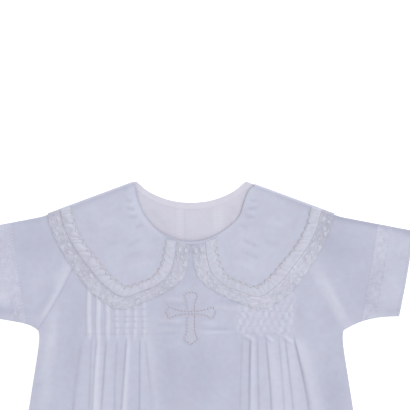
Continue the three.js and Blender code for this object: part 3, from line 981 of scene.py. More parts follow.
@dataclass
class FrontPanel:
    """The front: scooped neck, tucks on the left, honeycomb on the right, and the folds they let out."""

    neck_in: float = 36.0
    neck_out: float = 82.0
    pleat_in: float = 39.0
    pleat_out: float = 95.0
    fan_in: float = -0.045
    fan_out: float = 0.17
    cell: float = 6.6
    honeycomb_to: float = 137.5
    stitch_rows: tuple[float, ...] = (114.8, 121.7, 126.0, 131.9)
    tucks: tuple[Tuck, ...] = (
        Tuck(42.4, 0.3, 1.2, 0.20),
        Tuck(50.4, 0.4, 1.4, 0.30),
        Tuck(57.6, 0.3, 1.5, 0.24),
        Tuck(66.8, 0.4, 1.4, 0.28),
        Tuck(75.2, 0.5, 1.8, 0.42),
        Tuck(83.6, 0.5, 1.9, 0.50),
        Tuck(92.0, 0.5, 1.8, 0.52))
    # Each fold paints a shadow line along its steep side and a highlight on its easy slope.
    folds: tuple[SkirtFold, ...] = (
        SkirtFold(-97.4, -0.140, 0.9, 5.0, 0.24, 0.04, 900.0),
        SkirtFold(-88.6, -0.040, 0.5, 2.5, 0.26, 0.03, 235.0),
        SkirtFold(-84.0, -0.075, 1.2, 2.2, 0.06, 0.40, 900.0),
        SkirtFold(-75.4, -0.075, 0.9, 3.6, 0.25, 0.08, 700.0),
        SkirtFold(-65.6, -0.045, 0.5, 4.0, 0.22, 0.04, 330.0),
        SkirtFold(-57.0, -0.085, 1.3, 1.8, 0.06, 0.36, 900.0),
        SkirtFold(-45.0, -0.012, 0.8, 3.5, 0.26, 0.08, 800.0),
        SkirtFold(-40.0, 0.110, 0.6, 4.0, 0.04, 0.16, 600.0),
        SkirtFold(47.0, -0.030, 0.5, 4.0, 0.06, 0.06, 700.0),
        SkirtFold(54.6, -0.026, 1.4, 2.4, 0.33, 0.24, 900.0),
        SkirtFold(60.8, 0.020, 0.6, 3.0, 0.20, 0.05, 280.0),
        SkirtFold(68.6, 0.092, 1.1, 5.0, 0.26, 0.20, 900.0),
        SkirtFold(80.4, 0.080, 0.7, 3.0, 0.08, 0.10, 900.0),
        SkirtFold(86.0, 0.125, 0.8, 4.0, 0.25, 0.12, 420.0),
        SkirtFold(94.2, 0.250, 1.7, 6.0, 0.37, 0.26, 900.0))
    # Creases with painted shade and highlight; those of height 0 are broad patches of painted shade or light
    # alone.
    creases: tuple[Crease, ...] = (
        Crease(-26.0, 105.5, -5.0, 107.0, 0.3, 2.0, -0.20),
        Crease(-25.0, 110.4, -4.0, 111.6, -0.3, 1.8, 0.18),
        Crease(-30.0, 125.0, -5.0, 125.8, 0.3, 1.6, -0.18),
        Crease(-36.0, 129.4, -3.0, 130.6, -0.3, 1.5, 0.16),
        Crease(-38.0, 137.4, -6.0, 136.8, -0.25, 1.2, 0.18),
        Crease(5.0, 127.0, 24.0, 128.0, 0.3, 1.4, -0.16),
        Crease(3.0, 132.4, 40.0, 133.2, -0.3, 1.3, 0.24),
        Crease(3.0, 136.2, 42.0, 135.8, 0.35, 1.2, -0.28),
        Crease(22.0, 107.0, 48.0, 111.0, -0.3, 2.0, 0.16),
        Crease(20.0, 112.6, 44.0, 116.0, 0.3, 2.0, -0.14),
        Crease(0.0, 66.0, 0.0, 96.0, 0.0, 8.0, 0.14),
        Crease(-30.0, 150.0, -8.0, 146.0, 0.3, 2.4, -0.10),
        Crease(126.0, 158.0, 120.0, 166.0, -0.5, 1.6, 0.14),
        Crease(134.0, 170.0, 127.0, 177.0, -0.5, 1.6, 0.14),
        Crease(-104.0, 84.0, -110.0, 200.0, -0.4, 10.0, 0.16),
        Crease(-124.0, 112.0, -136.0, 230.0, 0.5, 5.5, -0.22),
        Crease(104.0, 110.0, 118.0, 150.0, 0.4, 6.0, -0.08),
        Crease(126.0, 150.0, 136.0, 300.0, -0.3, 13.0, 0.18),
        Crease(-72.0, 150.0, -78.0, 260.0, 0.0, 22.0, -0.06),
        Crease(74.0, 140.0, 86.0, 260.0, 0.0, 20.0, -0.14),
        Crease(12.0, 150.0, 10.0, 186.0, 0.0, 20.0, 0.22),
        Crease(-18.0, 140.0, -20.0, 206.0, 0.0, 12.0, 0.14),
        Crease(-120.0, 98.0, -129.0, 165.0, 0.4, 4.0, -0.18),
        Crease(116.0, 164.0, 130.0, 208.0, -0.2, 9.0, 0.14),
        Crease(0.0, 300.0, 12.0, 420.0, 1.0, 14.0, -0.06),
        Crease(-90.0, 330.0, -104.0, 470.0, -0.6, 5.0, 0.10),
        Crease(60.0, 340.0, 66.0, 480.0, -0.6, 5.0, 0.10),
        Crease(-30.0, 400.0, -34.0, 560.0, 0.9, 9.0, -0.06),
        Crease(120.0, 380.0, 140.0, 540.0, 0.9, 9.0, -0.06))
    plain_from: float = 72.0
    fold_height: float = 3.4
    side_fold: float = 1.8
    # Swags in pairs: a ridge with a painted highlight, and a painted shadow line just below it.
    swags: tuple[Crease, ...] = (
        Crease(47.0, 137.2, 57.6, 143.6, 0.5, 1.5, -0.42),
        Crease(46.6, 139.8, 56.8, 145.8, 0.0, 1.1, 0.20),
        Crease(67.0, 138.2, 74.4, 144.6, 0.5, 1.4, -0.38),
        Crease(66.0, 139.6, 73.2, 146.4, 0.0, 1.1, 0.20),
        Crease(82.0, 138.0, 92.4, 145.6, 0.5, 1.5, -0.46),
        Crease(81.2, 140.0, 91.4, 148.0, 0.0, 1.1, 0.22),
        Crease(58.0, 135.0, 64.0, 139.4, 0.3, 1.3, -0.20),
        Crease(74.6, 134.6, 81.0, 138.6, 0.3, 1.3, -0.22))
    hem_from: float = 589.0

    def columns(self) -> tuple[Grid, Grid, Grid]:
        """Columns on one side: the zone, the share in it, and the place at the neck edge.

        Returns:
            Zone numbers from 0 to 2, shares and places.
        """
        inner = np.linspace(0.0, 1.0, 15)[:-1]
        pleated = np.linspace(0.0, 1.0, 113)[:-1]
        outer = np.append(np.linspace(0.0, 0.98, 21), [0.994, 1.0])
        zone = np.repeat([0, 1, 2], [len(inner), len(pleated), len(outer)])
        share = np.concatenate([inner, pleated, outer])
        top = np.concatenate([self.neck_in * inner, mix(self.neck_in, self.neck_out, pleated),
                              mix(self.neck_out, CUT.shoulder_tip, outer)])
        return zone, share, top

    def pleats(self, drop: Grid) -> tuple[Grid, Grid]:
        """Inner and outer edges of the pleated zone at given drops."""
        fall = np.maximum(0.0, drop - CUT.smock_to)
        return self.pleat_in + self.fan_in * fall, self.pleat_out + self.fan_out * fall

    def spread(self, zone: Grid, share: Grid, drop: Grid) -> Grid:
        """Places of the columns at given drops.

        Args:
            zone: Zone number of each column.
            share: Share of each column in its zone.
            drop: Places down the gown.

        Returns:
            The places across the gown.
        """
        first, second = self.pleats(drop)
        inside, pleated = first * share, mix(first, second, share)
        return np.choose(zone, [inside, pleated, mix(second, CUT.body_half(drop), share)])

    def straight(self, x: Grid, drop: Grid) -> tuple[Grid, Grid]:
        """Heights and shading of the tucks on the left.

        Args:
            x: Places across the gown.
            drop: Places down the gown.

        Returns:
            The heights and the shading.
        """
        height, shade = np.zeros_like(x), np.zeros_like(x)
        held = smooth(84.0, 92.0, drop) * (1.0 - smooth(136.0, 147.0, drop))
        rows = sum(swell(drop - row, 0.9) for row in self.stitch_rows)
        for tuck in self.tucks:
            across = -x - tuck.x + 0.25 * np.sin(drop / 6.0 + tuck.x)
            flat = 1.0 - smooth(tuck.half - 1.2, tuck.half + 1.0, np.abs(across))
            caught = rows if tuck.x < self.plain_from else 0.0
            height += held * tuck.height * flat * (1.0 - 0.35 * caught)
            # Painted shadow in the groove beside each tuck, and a painted highlight on its flat top.
            groove = 0.10 * swell(across - tuck.half - 1.2, 0.8)
            shade += held * (groove - tuck.glow * flat * (1.0 - 0.5 * caught))
        inner = smooth(-72.0, -69.0, x) * (1.0 - smooth(-41.0, -36.0, x))
        # Painted shade along the stitch rows of the inner tucks, paler between them.
        return height, shade + held * inner * (0.11 * rows - 0.09)

    def honeycomb(self, x: Grid, drop: Grid) -> tuple[Grid, Grid]:
        """Heights and shading of the honeycomb smocking on the right, and the swags that hang from it.

        Args:
            x: Places across the gown.
            drop: Places down the gown.

        Returns:
            The heights and the shading.
        """
        wavy = x + 1.1 * np.sin(drop / 4.1 + x / 9.0) + 0.6 * np.sin(drop / 1.9 - x / 3.0)
        row = drop - 113.6 + 1.0 * np.sin(x / 4.7) + 0.5 * np.sin(x / 2.1 + drop / 3.0)
        puff = np.cos(2 * math.pi * (wavy - 43.0) / self.cell) * np.cos(math.pi * row / self.cell)
        puff *= 0.75 + 0.35 * np.sin(x / 3.1 + drop / 7.0)
        panel = smooth(38.5, 44.0, x) * (1.0 - smooth(90.0, 96.5, x))
        hang = self.honeycomb_to + 1.6 * np.sin(x / 3.3 + 0.6)
        held = panel * smooth(90.0, 102.0, drop) * (1.0 - smooth(-4.0, 3.0, drop - hang))
        rise, tone = lay(self.swags, x, drop)
        # Paler over the panel with a painted highlight on each puff; the swags add their painted highlights
        # and shadows.
        return held * (0.3 + 0.35 * puff) + rise, held * (-0.24 - 0.19 * puff) + tone

    def waves(self, x: Grid, drop: Grid) -> tuple[Grid, Grid]:
        """Heights and shading of the deep folds that open below the waist and run out at the hem.

        Args:
            x: Places across the gown.
            drop: Places down the gown.

        Returns:
            The heights and the shading.
        """
        first, second = self.pleats(drop)
        half, out = CUT.body_half(drop), np.abs(x)
        height, shade = np.zeros_like(x), np.zeros_like(x)
        for side in Side:
            shares = FOLD_SHARES[side]
            place = np.clip((out - first) / (second - first), 0.0, 0.9999) * len(shares)
            bend = 0.09 * np.sin(drop / 47.0 + 2.0 * side.value) + 0.05 * np.sin(drop / 23.0 + place)
            within = place - np.floor(place)
            turn = np.clip(within + bend * np.sin(math.pi * within), 0.0, 1.0)
            ridge = 0.5 - 0.5 * np.cos(2 * math.pi * turn)
            here = np.array(shares)[place.astype(int)] * (np.sign(x) == side.value)
            height += self.fold_height * here * ridge
            # Painted shade in the valleys and a painted highlight on the ridges.
            shade += here * (0.12 - 0.26 * ridge)
        edge = np.clip((out - second) / (half - second), 0.0, 1.0)
        height += self.side_fold * np.sin(math.pi * edge)
        opened = smooth(195.0, 310.0, drop)
        return opened * height, opened * shade

    def height(self, x: Grid, drop: Grid) -> tuple[Grid, Grid]:
        """Middle height and shading of the front at given places.

        Args:
            x: Places across the gown.
            drop: Places down the gown.

        Returns:
            The heights and the shading.
        """
        half = CUT.body_half(drop)
        out = np.abs(x) / half
        marks = [self.straight(x, drop), self.honeycomb(x, drop), self.waves(x, drop)]
        near = 1.0 - smooth(0.86, 0.99, out)
        for kind in (self.folds, self.creases):
            rise, tone = lay(kind, x, drop)
            marks.append((rise * near, tone))
        hem = smooth(self.hem_from - 0.6, self.hem_from + 0.6, drop)
        loft = 0.7 * smooth(140.0, 175.0, drop) * (1.0 - smooth(0.8, 1.0, out))
        armhole = smooth(60.0, 80.0, drop) * (1.0 - smooth(128.0, 136.0, drop))
        seam = armhole * swell(np.abs(x) - half + 0.7, 1.1)
        # The doubled hem is paler, with a painted shade line along its edge.
        shade = sum(tone for _, tone in marks) - 0.22 * hem + 0.5 * swell(drop - self.hem_from, 0.8)
        # Along the armhole seam: painted shade on the left; on the right the paler seam allowance reaches
        # onto the front.
        shade += seam * np.where(x < 0.0, 0.22, -0.16)
        return CUT.front_level(x, drop) + sum(rise for rise, _ in marks) + loft + 0.3 * hem, shade

    def build(self) -> bpy.types.Object:
        """Makes the front.

        Returns:
            The object.
        """
        zone, share, top = self.columns()
        sign = np.concatenate([np.full(len(zone) - 1, -1.0), np.ones(len(zone))])
        order = np.concatenate([np.arange(len(zone) - 1, 0, -1), np.arange(len(zone))])
        zone, share, top = zone[order], share[order], top[order]
        edge = np.where(zone == 2, share, 0.0)
        start = np.maximum(CUT.front_neck(top), CUT.top_drop(top))
        low = self.spread(zone, share, np.array(CUT.smock_from))
        across, down = CUT.yoke(top, low, edge, start, 13)
        below = np.concatenate([np.arange(CUT.smock_from, 100.0, 2.0), np.arange(100.0, 148.0, 1.1),
                                np.arange(148.6, 212.0, 2.5), np.linspace(215.0, 586.0, 58),
                                np.array([588.2, 589.0, 589.8, 595.0, 601.0, CUT.length])])[:, None]
        across = np.concatenate([across, self.spread(zone, share, below)])
        drop = np.concatenate([down, np.broadcast_to(below, (len(below), len(zone)))])
        x, drop = CUT.turn_back(sign * (across + 0.13 * edge * (1.0 - smooth(128.0, 134.0, drop))), drop)
        height, shade = self.height(x, drop)
        return Maker.shell("front_cloth", CUT.place(x, drop, height), shade)

    def stitches(self) -> bpy.types.Object:
        """Makes the smocking stitches and the sewn line of the hem.

        Returns:
            The object.
        """
        caught = [tuck.x for tuck in self.tucks if tuck.x < self.plain_from]
        paths = [(-x - 1.5, row, 1.5 - x, row) for row in self.stitch_rows for x in caught]
        paths += [(x, 137.4, x + 1.5, 137.2) for x in np.arange(-95.0, -40.0, 2.6)]
        for i, row in enumerate(np.arange(110.3, 137.0, self.cell)):
            spots = np.arange(43.0 + (i % 2) * self.cell / 2, 94.0, self.cell)
            paths += [(x - 1.2, row + 0.3, x + 1.2, row - 0.3) for x in spots]
        half = float(CUT.body_half(np.array(self.hem_from)))
        spots = np.arange(3.0 - half, half - 3.0, 3.1)
        paths += [(x, self.hem_from, x + 2.3, self.hem_from) for x in spots]
        ends = np.array(paths)
        share = np.linspace(0.0, 1.0, 5)
        x, drop = mix(ends[:, :1], ends[:, 2:3], share), mix(ends[:, 1:2], ends[:, 3:], share)
        height = self.height(x, drop)[0] + SETTLE + CLOTH / 2 + 0.1
        return Maker.threads("smocking_stitches", CUT.place(x, drop, height), 0.18, taper=0.5)

    def dress(self) -> None:
        """Builds and dresses the front."""
        cut = SheetCut(0.50, 0.62, Held.LAID, ("back_left_cloth", "back_right_cloth"))
        Dresser.cloth(self.build(), BATISTE, Slot.BATISTE, cut, "front")
        Dresser.dress(self.stitches(), SEWING, Slot.BATISTE)


@dataclass
class BackPanel:
    """One back panel, with the marks of the collar's back trim that shows through the single layer."""

    side: Side
    strips: tuple[tuple[float, float], ...] = ((-14.0, -5.6), (19.0, 30.5))
    dots: tuple[float, ...] = (-10.4, 22.3, 26.0)
    # Creases with painted shade and highlight; those of height 0 are patches of painted shade alone.
    creases: tuple[Crease, ...] = (
        Crease(-40.0, 26.0, -22.0, 40.0, -0.2, 3.0, 0.05),
        Crease(36.0, 22.0, 44.0, 34.0, -0.2, 2.5, 0.06),
        Crease(-46.0, 14.0, -20.0, 46.0, 0.0, 7.0, 0.12),
        Crease(40.0, 20.0, 30.0, 50.0, 0.0, 6.0, 0.08),
        Crease(-90.0, 250.0, -110.0, 420.0, 0.5, 9.0, -0.05),
        Crease(70.0, 300.0, 84.0, 480.0, 0.5, 9.0, -0.05))

    def build(self) -> bpy.types.Object:
        """Makes the panel.

        Returns:
            The object.
        """
        seam, edge = 0.15, CUT.shoulder_tip
        top = np.concatenate([np.linspace(seam, 50.5, 60), np.linspace(52.0, edge, 26)])
        outer = np.clip((top - 51.0) / (edge - 51.0), 0.0, 1.0)
        start = np.maximum(CUT.back_neck(top), CUT.top_drop(top))

        def low(drop: Grid) -> Grid:
            """Columns at drops below the armhole's upper part."""
            return seam + (top - seam) * (CUT.body_half(drop) - seam) / (edge - seam)

        across, down = CUT.yoke(top, low(np.array(CUT.smock_from)), outer, start, 66)
        below = np.concatenate([np.arange(CUT.smock_from, 230.0, 4.0), np.linspace(236.0, CUT.length, 40)])
        below = below[:, None]
        x = self.side.value * np.concatenate([across, low(below)])
        drop = np.concatenate([down, np.broadcast_to(below, (len(below), len(top)))])
        folds, shade = lay(self.creases, x, drop)
        open_neck = 1.0 - smooth(60.0, 80.0, drop)
        for first, last in self.strips:
            inside = smooth(first - 0.4, first + 0.4, x) * (1.0 - smooth(last - 0.4, last + 0.4, x))
            edges = 0.06 * swell(x - first, 0.8) + 0.08 * swell(x - last, 0.7)
            shade += open_neck * (edges - 0.10 * inside)
        for spot in self.dots:
            row = np.maximum(0.0, np.cos(2 * math.pi * drop / 3.4)) * swell(x - spot, 0.9)
            shade -= 0.45 * open_neck * row
        # Painted light on the back beside the right front neck edge, paling the shadow that the raised edge
        # casts there.
        ellipse = np.sqrt(np.maximum(0.0, 1.0 - (drop / CUT.front_neck_drop) ** 2))
        edge_x = CUT.neck_half * ellipse + CUT.turned_by(drop - CUT.neck_point, drop)
        shade -= 0.7 * smooth(10.0, 40.0, x) * swell(edge_x - x - 0.8, 1.9) * (drop < CUT.front_neck_drop)
        middle = CUT.place(x, drop, CUT.back_level(x, drop) + folds)
        return Maker.shell(f"back_{self.side.word}_cloth", middle, shade)

    def dress(self) -> None:
        """Builds and dresses the panel."""
        cut = SheetCut(0.23, 0.62, Held.LAID, ("floor",))
        Dresser.cloth(self.build(), INSIDE, Slot.BATISTE, cut, f"back_{self.side.word}")


# Creases by side, with painted shade and highlight; those of height 0 are patches of painted shade alone.
SLEEVE_CREASES = {
    Side.LEFT: (
        Crease(118.0, 50.0, 168.0, 66.0, 0.0, 17.0, 0.16),
        Crease(116.5, 92.0, 137.5, 129.0, 0.7, 2.4, -0.34),
        Crease(123.0, 92.0, 143.0, 124.0, -0.4, 2.6, 0.12),
        Crease(132.0, 84.0, 150.0, 112.0, 0.3, 6.0, -0.06),
        Crease(150.0, 76.0, 156.0, 112.0, -0.25, 6.0, 0.06),
        Crease(176.0, 112.0, 190.0, 118.0, -0.2, 6.0, 0.30),
        Crease(178.0, 84.0, 186.0, 108.0, 0.3, 9.0, -0.16),
        Crease(162.0, 103.0, 182.0, 107.0, 0.2, 5.0, -0.34),
        Crease(146.0, 119.0, 182.0, 115.0, -0.2, 3.6, 0.34),
        Crease(109.0, 72.0, 121.0, 100.0, 0.3, 4.5, -0.30)),
    Side.RIGHT: (
        Crease(120.0, 46.0, 142.0, 70.0, 0.0, 15.0, 0.26),
        Crease(140.0, 50.0, 168.0, 60.0, 0.0, 10.0, 0.08),
        Crease(120.0, 92.0, 139.0, 126.0, 0.5, 3.4, -0.10),
        Crease(133.0, 76.0, 150.0, 116.0, -0.3, 5.0, 0.04),
        Crease(156.0, 108.0, 172.0, 116.0, -0.3, 5.0, 0.20),
        Crease(172.0, 66.0, 198.0, 72.0, -0.3, 4.0, 0.06),
        Crease(176.0, 88.0, 190.0, 106.0, 0.4, 8.0, -0.16),
        Crease(172.0, 118.0, 192.0, 116.0, -0.3, 3.6, 0.22),
        Crease(158.0, 102.0, 162.0, 116.0, -0.2, 3.0, 0.14),
        Crease(186.0, 46.0, 204.0, 49.0, 0.0, 4.0, 0.20)),
}


class SleevePart(Enum):
    """The cloth parts of a sleeve, as the nodes name them."""

    SLEEVE = "sleeve"
    LACE = "sleeve_lace"
    CUFF = "cuff"


@dataclass
class Sleeve:
    """One short sleeve: a flattened tube of cloth, a lace insertion and a hemmed end."""

    # Painted shade along the top fold of each sleeve.
    fold_shade: ClassVar[dict[Side, float]] = {Side.LEFT: 0.14, Side.RIGHT: 0.55}
    allowance_tone: ClassVar[dict[Side, float]] = {Side.LEFT: 0.05, Side.RIGHT: 0.24}
    armhole_lap: ClassVar[dict[Side, float]] = {Side.LEFT: 0.25, Side.RIGHT: -0.07}
    lap_rows: ClassVar[dict[Side, float]] = {Side.LEFT: 1.5, Side.RIGHT: 5.0}
    side: Side
    lace_from: tuple[float, float] = (169.0, 155.0)
    lace_to: tuple[float, float] = (180.5, 166.5)
    cuff_to: tuple[float, float] = (201.0, 188.0)
    loft: float = 3.4
    lap: float = 0.07
    lap_width: float = 0.4

    @property
    def creases(self) -> tuple[Crease, ...]:
        """The creases of this sleeve, with their painted shade and highlight."""
        return SLEEVE_CREASES[self.side]

    @property
    def lie(self) -> SleeveLie:
        """How this sleeve lies."""
        return LIES[self.side]

    def armhole(self, share: Grid) -> Grid:
        """Places along the armhole seam."""
        drop = mix(CUT.tip_drop, CUT.underarm_drop, share)
        return np.stack([CUT.body_half(drop) - self.lap_width, drop], axis=-1)

    def line(self, ends: tuple[float, float], shift: float, share: Grid) -> Grid:
        """Places along a straight line across the sleeve.

        Args:
            ends: Where the line meets the fold and the underside, across.
            shift: How far outwards to move it.
            share: Shares down the sleeve.

        Returns:
            The places, across and down.
        """
        top, bottom = (np.array(end + self.lie.out + shift) for end in ends)
        first = np.array([top, CUT.top_drop(top)])
        last = np.array([bottom, CUT.under_drop(self.lie, bottom)])
        return first + (last - first) * share[..., None]

    def plan(self, first: Grid, last: Grid, t: Grid, share: Grid) -> Grid:
        """Places between two lines, held to the sleeve's upper and lower edges.

        Args:
            first: Line where the piece starts, a place for each share.
            last: Line where it ends.
            t: Shares of the way between the lines, one for each row.
            share: Shares of the way from the fold to the underside.

        Returns:
            Rows by columns of places.
        """
        t, down = t[:, None, None], share[None, :, None]
        flat = mix(first[None], last[None], t)
        upper_x, lower_x = flat[:, 0, 0], flat[:, -1, 0]
        upper = np.stack([upper_x, CUT.top_drop(upper_x)], axis=-1) - flat[:, 0]
        lower = np.stack([lower_x, CUT.under_drop(self.lie, lower_x)], axis=-1) - flat[:, -1]
        return flat + upper[:, None] * (1.0 - down) + lower[:, None] * down

    def tube(
        self, first: Grid, last: Grid, rows: int, share: Grid, lap: Grid | float = 0.0,
    ) -> tuple[Grid, Grid, Grid]:
        """Middle points of a flattened tube between two lines.

        Args:
            first: Line where the piece starts.
            last: Line where it ends.
            rows: Number of rows.
            share: Shares down the sleeve.
            lap: How far each row stands out over the piece next to it.

        Returns:
            The points, and the across and drop of each.
        """
        lap = np.broadcast_to(lap, (rows,))[:, None]
        flat = self.plan(first, last, np.linspace(0.0, 1.0, rows), share)
        x, drop = flat[..., 0], flat[..., 1]
        level = CUT.back_level(x, drop)
        puff = self.loft * smooth(130.0, 172.0, x) * np.sin(math.pi * share)
        marks = lay(self.creases, x, drop)[0] * np.sin(math.pi * share)
        upper = CUT.place(x, drop, level + CUT.layer + puff + marks + lap)
        lower = CUT.place(x, drop, level - lap)[:, ::-1]
        turns = np.linspace(0.0, math.pi, 8)[1:-1]
        half = CUT.layer / 2

        def fold(at: int, tilt: Grid, down: float, order: Grid) -> Grid:
            """Rounds the cloth over at the top fold or the underside seam.

            Args:
                at: Column of the edge.
                tilt: Slope of the edge.
                down: Whether the edge faces up or down.
                order: Angles round the fold.

            Returns:
                The points.
            """
            away = np.stack([tilt, np.full_like(tilt, down)], axis=-1)
            away /= np.linalg.norm(away, axis=-1, keepdims=True)
            reach = (half + lap) * np.sin(order)
            spot_x = x[:, at, None] + away[:, :1] * reach
            spot_drop = drop[:, at, None] - away[:, 1:] * reach
            return CUT.place(spot_x, spot_drop, level[:, at, None] + half + (half + lap) * np.cos(order))

        edge_x = x[:, 0]
        top_tilt = CUT.top_drop(edge_x + 0.5) - CUT.top_drop(edge_x - 0.5)
        low_x = x[:, -1]
        low_tilt = CUT.under_drop(self.lie, low_x - 0.5) - CUT.under_drop(self.lie, low_x + 0.5)
        points = np.concatenate([upper, fold(-1, low_tilt, -1.0, turns), lower,
                                 fold(0, top_tilt, 1.0, turns[::-1])], axis=1)
        points[..., 0] *= self.side.value

        def around(flat: Grid) -> Grid:
            """Values of the upper face, carried round both folds and the lower face."""
            low, top = (np.repeat(flat[:, [at]], len(turns), 1) for at in (-1, 0))
            return np.concatenate([flat, low, flat[:, ::-1], top], axis=1)

        return points, around(x), around(drop)

    def shading(self, x: Grid, drop: Grid) -> Grid:
        """Shading of the sleeve: painted shade and highlight of the creases, painted shade along the top
        fold, and the paler seam allowance by the armhole.

        Args:
            x: Places across the gown.
            drop: Places down the gown.

        Returns:
            The shading.
        """
        shade = lay(self.creases, x, drop)[1]
        gap = x - CUT.body_half(drop)
        allowance = smooth(-2.0, 2.0, gap) * (1.0 - smooth(8.0, 13.5, gap)) * smooth(50.0, 90.0, drop)
        # Painted shade along the sleeve's top fold.
        fold = self.fold_shade[self.side] * swell(drop - CUT.top_drop(x), 3.6)
        return shade + fold - self.allowance_tone[self.side] * allowance

    def build(self, part: SleevePart, share: Grid) -> bpy.types.Object:
        """Makes one part of the sleeve.

        Args:
            part: Which part.
            share: Shares down the sleeve.

        Returns:
            The object.
        """
        wide = self.lap_width
        lines = {
            SleevePart.SLEEVE: (self.armhole(share), self.line(self.lace_from, 0.0, share), 46),
            SleevePart.LACE: (
                self.line(self.lace_from, -wide, share), self.line(self.lace_to, wide, share), 11),
            SleevePart.CUFF: (self.line(self.lace_to, 0.0, share), self.line(self.cuff_to, 0.0, share), 14),
        }
        first, last, rows = lines[part]
        armhole_lap = self.armhole_lap[self.side] * swell(np.arange(rows), self.lap_rows[self.side])
        laps = {SleevePart.SLEEVE: armhole_lap, SleevePart.LACE: self.lap, SleevePart.CUFF: 0.0}
        points, x, drop = self.tube(first, last, rows, share, laps[part])
        shade = self.shading(x, drop)
        if part is SleevePart.CUFF:
            along = np.linspace(0.0, 1.0, rows)[:, None]
            shade = shade - 0.16 + 0.12 * swell(along - 0.93, 0.03)
        return Maker.shell(f"{part.value}_{self.side.word}_cloth", points, shade, wrap=True)

    def flowers(self, share: Grid) -> bpy.types.Object:
        """Makes the flowers of the lace insertion, on both faces of the sleeve.

        Args:
            share: Shares down the sleeve.

        Returns:
            The object.
        """
        first, last = self.line(self.lace_from, 0.15, share), self.line(self.lace_to, -0.15, share)
        points, _, _ = self.tube(first, last, 25, share)
        count = points.shape[1]
        rims = []
        for i, at in enumerate(np.arange(4.0, count - 4.0, 4.0)):
            centre = 12.0 + (4.2 if i % 2 else -4.2)
            size = 3.4 if i % 2 else 3.0
            turn = np.linspace(0.0, 2 * math.pi, 15, endpoint=False)
            radius = size * (1.0 + 0.3 * np.cos(5 * turn + i))
            row, column = centre + radius * 1.05 * np.sin(turn), at + 0.42 * radius * np.cos(turn)
            rims.append(self._pick(points, row, column))
        return Maker.patches(f"sleeve_lace_{self.side.word}_flowers", np.array(rims), 0.1)

    def _pick(self, points: Grid, row: Grid, column: Grid) -> Grid:
        """Points on the lace's outer face at fractions of its rows and columns.

        Args:
            points: Grid of the lace's middle points.
            row: Rows, with fractions.
            column: Columns, with fractions.

        Returns:
            The points.
        """
        r, c = np.clip(row, 0, points.shape[0] - 1.001), np.mod(column, points.shape[1] - 1)
        r0, c0 = r.astype(int), c.astype(int)
        fr, fc = (r - r0)[:, None], (c - c0)[:, None]
        near = mix(points[r0, c0], points[r0 + 1, c0], fr)
        far = mix(points[r0, c0 + 1], points[r0 + 1, c0 + 1], fr)
        spot = mix(near, far, fc)
        spot[:, 2] += SETTLE + np.where(column < points.shape[1] / 2, 0.42, -0.12)
        return spot

    def threads(self, share: Grid) -> bpy.types.Object:
        """Makes the sewn lines beside the lace and round the hem.

        Args:
            share: Shares down the sleeve.

        Returns:
            The object.
        """
        paths = []
        for ends, shift in ((self.lace_from, -0.4), (self.lace_to, 0.4), (self.cuff_to, -1.6)):
            line = self.line(ends, shift, share)
            points, _, _ = self.tube(line, self.line(ends, shift + 0.1, share), 2, share)
            ring = points[0]
            run = np.linspace(1.0, len(ring) - 2.0, 68)
            for start in run:
                at = np.clip(np.linspace(start, start + 0.95, 4), 0, len(ring) - 1.001)
                low = at.astype(int)
                paths.append(mix(ring[low], ring[low + 1], (at - low)[:, None]))
        spots = np.array(paths)
        level = spots[..., 2].mean(axis=1)
        lower = level < np.median(level) - 0.2
        spots[..., 2] += SETTLE + np.where(lower, -CLOTH / 2 + 0.12, CLOTH / 2 + 0.08)[:, None]
        return Maker.threads(f"sleeve_stitches_{self.side.word}", spots, 0.33, taper=0.6)

    def dress(self) -> None:
        """Builds and dresses the sleeve."""
        share = np.linspace(0.0, 1.0, 62)
        cuts = {
            SleevePart.SLEEVE: (BATISTE, Slot.BATISTE, SheetCut(0.26, 0.085, Held.LAID, ("floor",))),
            SleevePart.LACE: (INSERTION, Slot.LACE, SheetCut(0.20, 0.012, Held.LAID, ("floor",))),
            SleevePart.CUFF: (BATISTE, Slot.BATISTE, SheetCut(0.185, 0.022, Held.LAID, ("floor",))),
        }
        for part, (finish, slot, cut) in cuts.items():
            Dresser.cloth(self.build(part, share), finish, slot, cut, f"{part.value}_{self.side.word}")
        Dresser.dress(self.flowers(share), INSERTION_MOTIF, Slot.LACE)
        Dresser.dress(self.threads(share), SEAM, Slot.BATISTE)


@dataclass(frozen=True)
class CollarSection:
    """One section of the collar from the centre to the shoulder.

    Attributes:
        neck: Place of the neck edge.
        seam_x: Seam of the puffed band, across.
        seam_drop: Seam of the puffed band, down.
        edge_x: Lace edge, across.
        edge_drop: Lace edge, down.
    """

    neck: float
    seam_x: float
    seam_drop: float
    edge_x: float
    edge_drop: float


FRONT_COLLAR = (
    CollarSection(24.0, 21.5, 51.5, 0.7, 57.0), CollarSection(26.0, 24.0, 68.0, 2.5, 76.0),
    CollarSection(28.0, 28.0, 79.0, 8.0, 89.0), CollarSection(31.0, 35.0, 87.0, 20.0, 98.5),
    CollarSection(34.0, 46.0, 91.5, 42.0, 109.0), CollarSection(37.0, 59.0, 95.0, 64.0, 115.3),
    CollarSection(41.0, 70.0, 87.5, 86.0, 104.0), CollarSection(44.0, 83.5, 72.5, 104.0, 83.0),
    CollarSection(47.0, 96.0, 56.5, 118.0, 61.5), CollarSection(49.5, 104.5, 40.0, 125.5, 45.0))
BACK_COLLAR = (
    CollarSection(21.0, 19.5, 19.0, 1.2, 21.0), CollarSection(23.0, 23.0, 42.0, 3.5, 55.0),
    CollarSection(25.0, 26.0, 60.0, 9.0, 76.0), CollarSection(27.0, 32.0, 70.0, 20.0, 86.0),
    CollarSection(30.0, 42.0, 76.0, 41.0, 97.0), CollarSection(32.0, 55.0, 79.5, 61.0, 101.0),
    CollarSection(35.0, 67.0, 75.0, 83.0, 94.0), CollarSection(39.0, 81.0, 65.0, 101.0, 77.0),
    CollarSection(43.0, 94.0, 52.0, 116.0, 59.0), CollarSection(47.0, 103.0, 38.0, 124.5, 44.0))


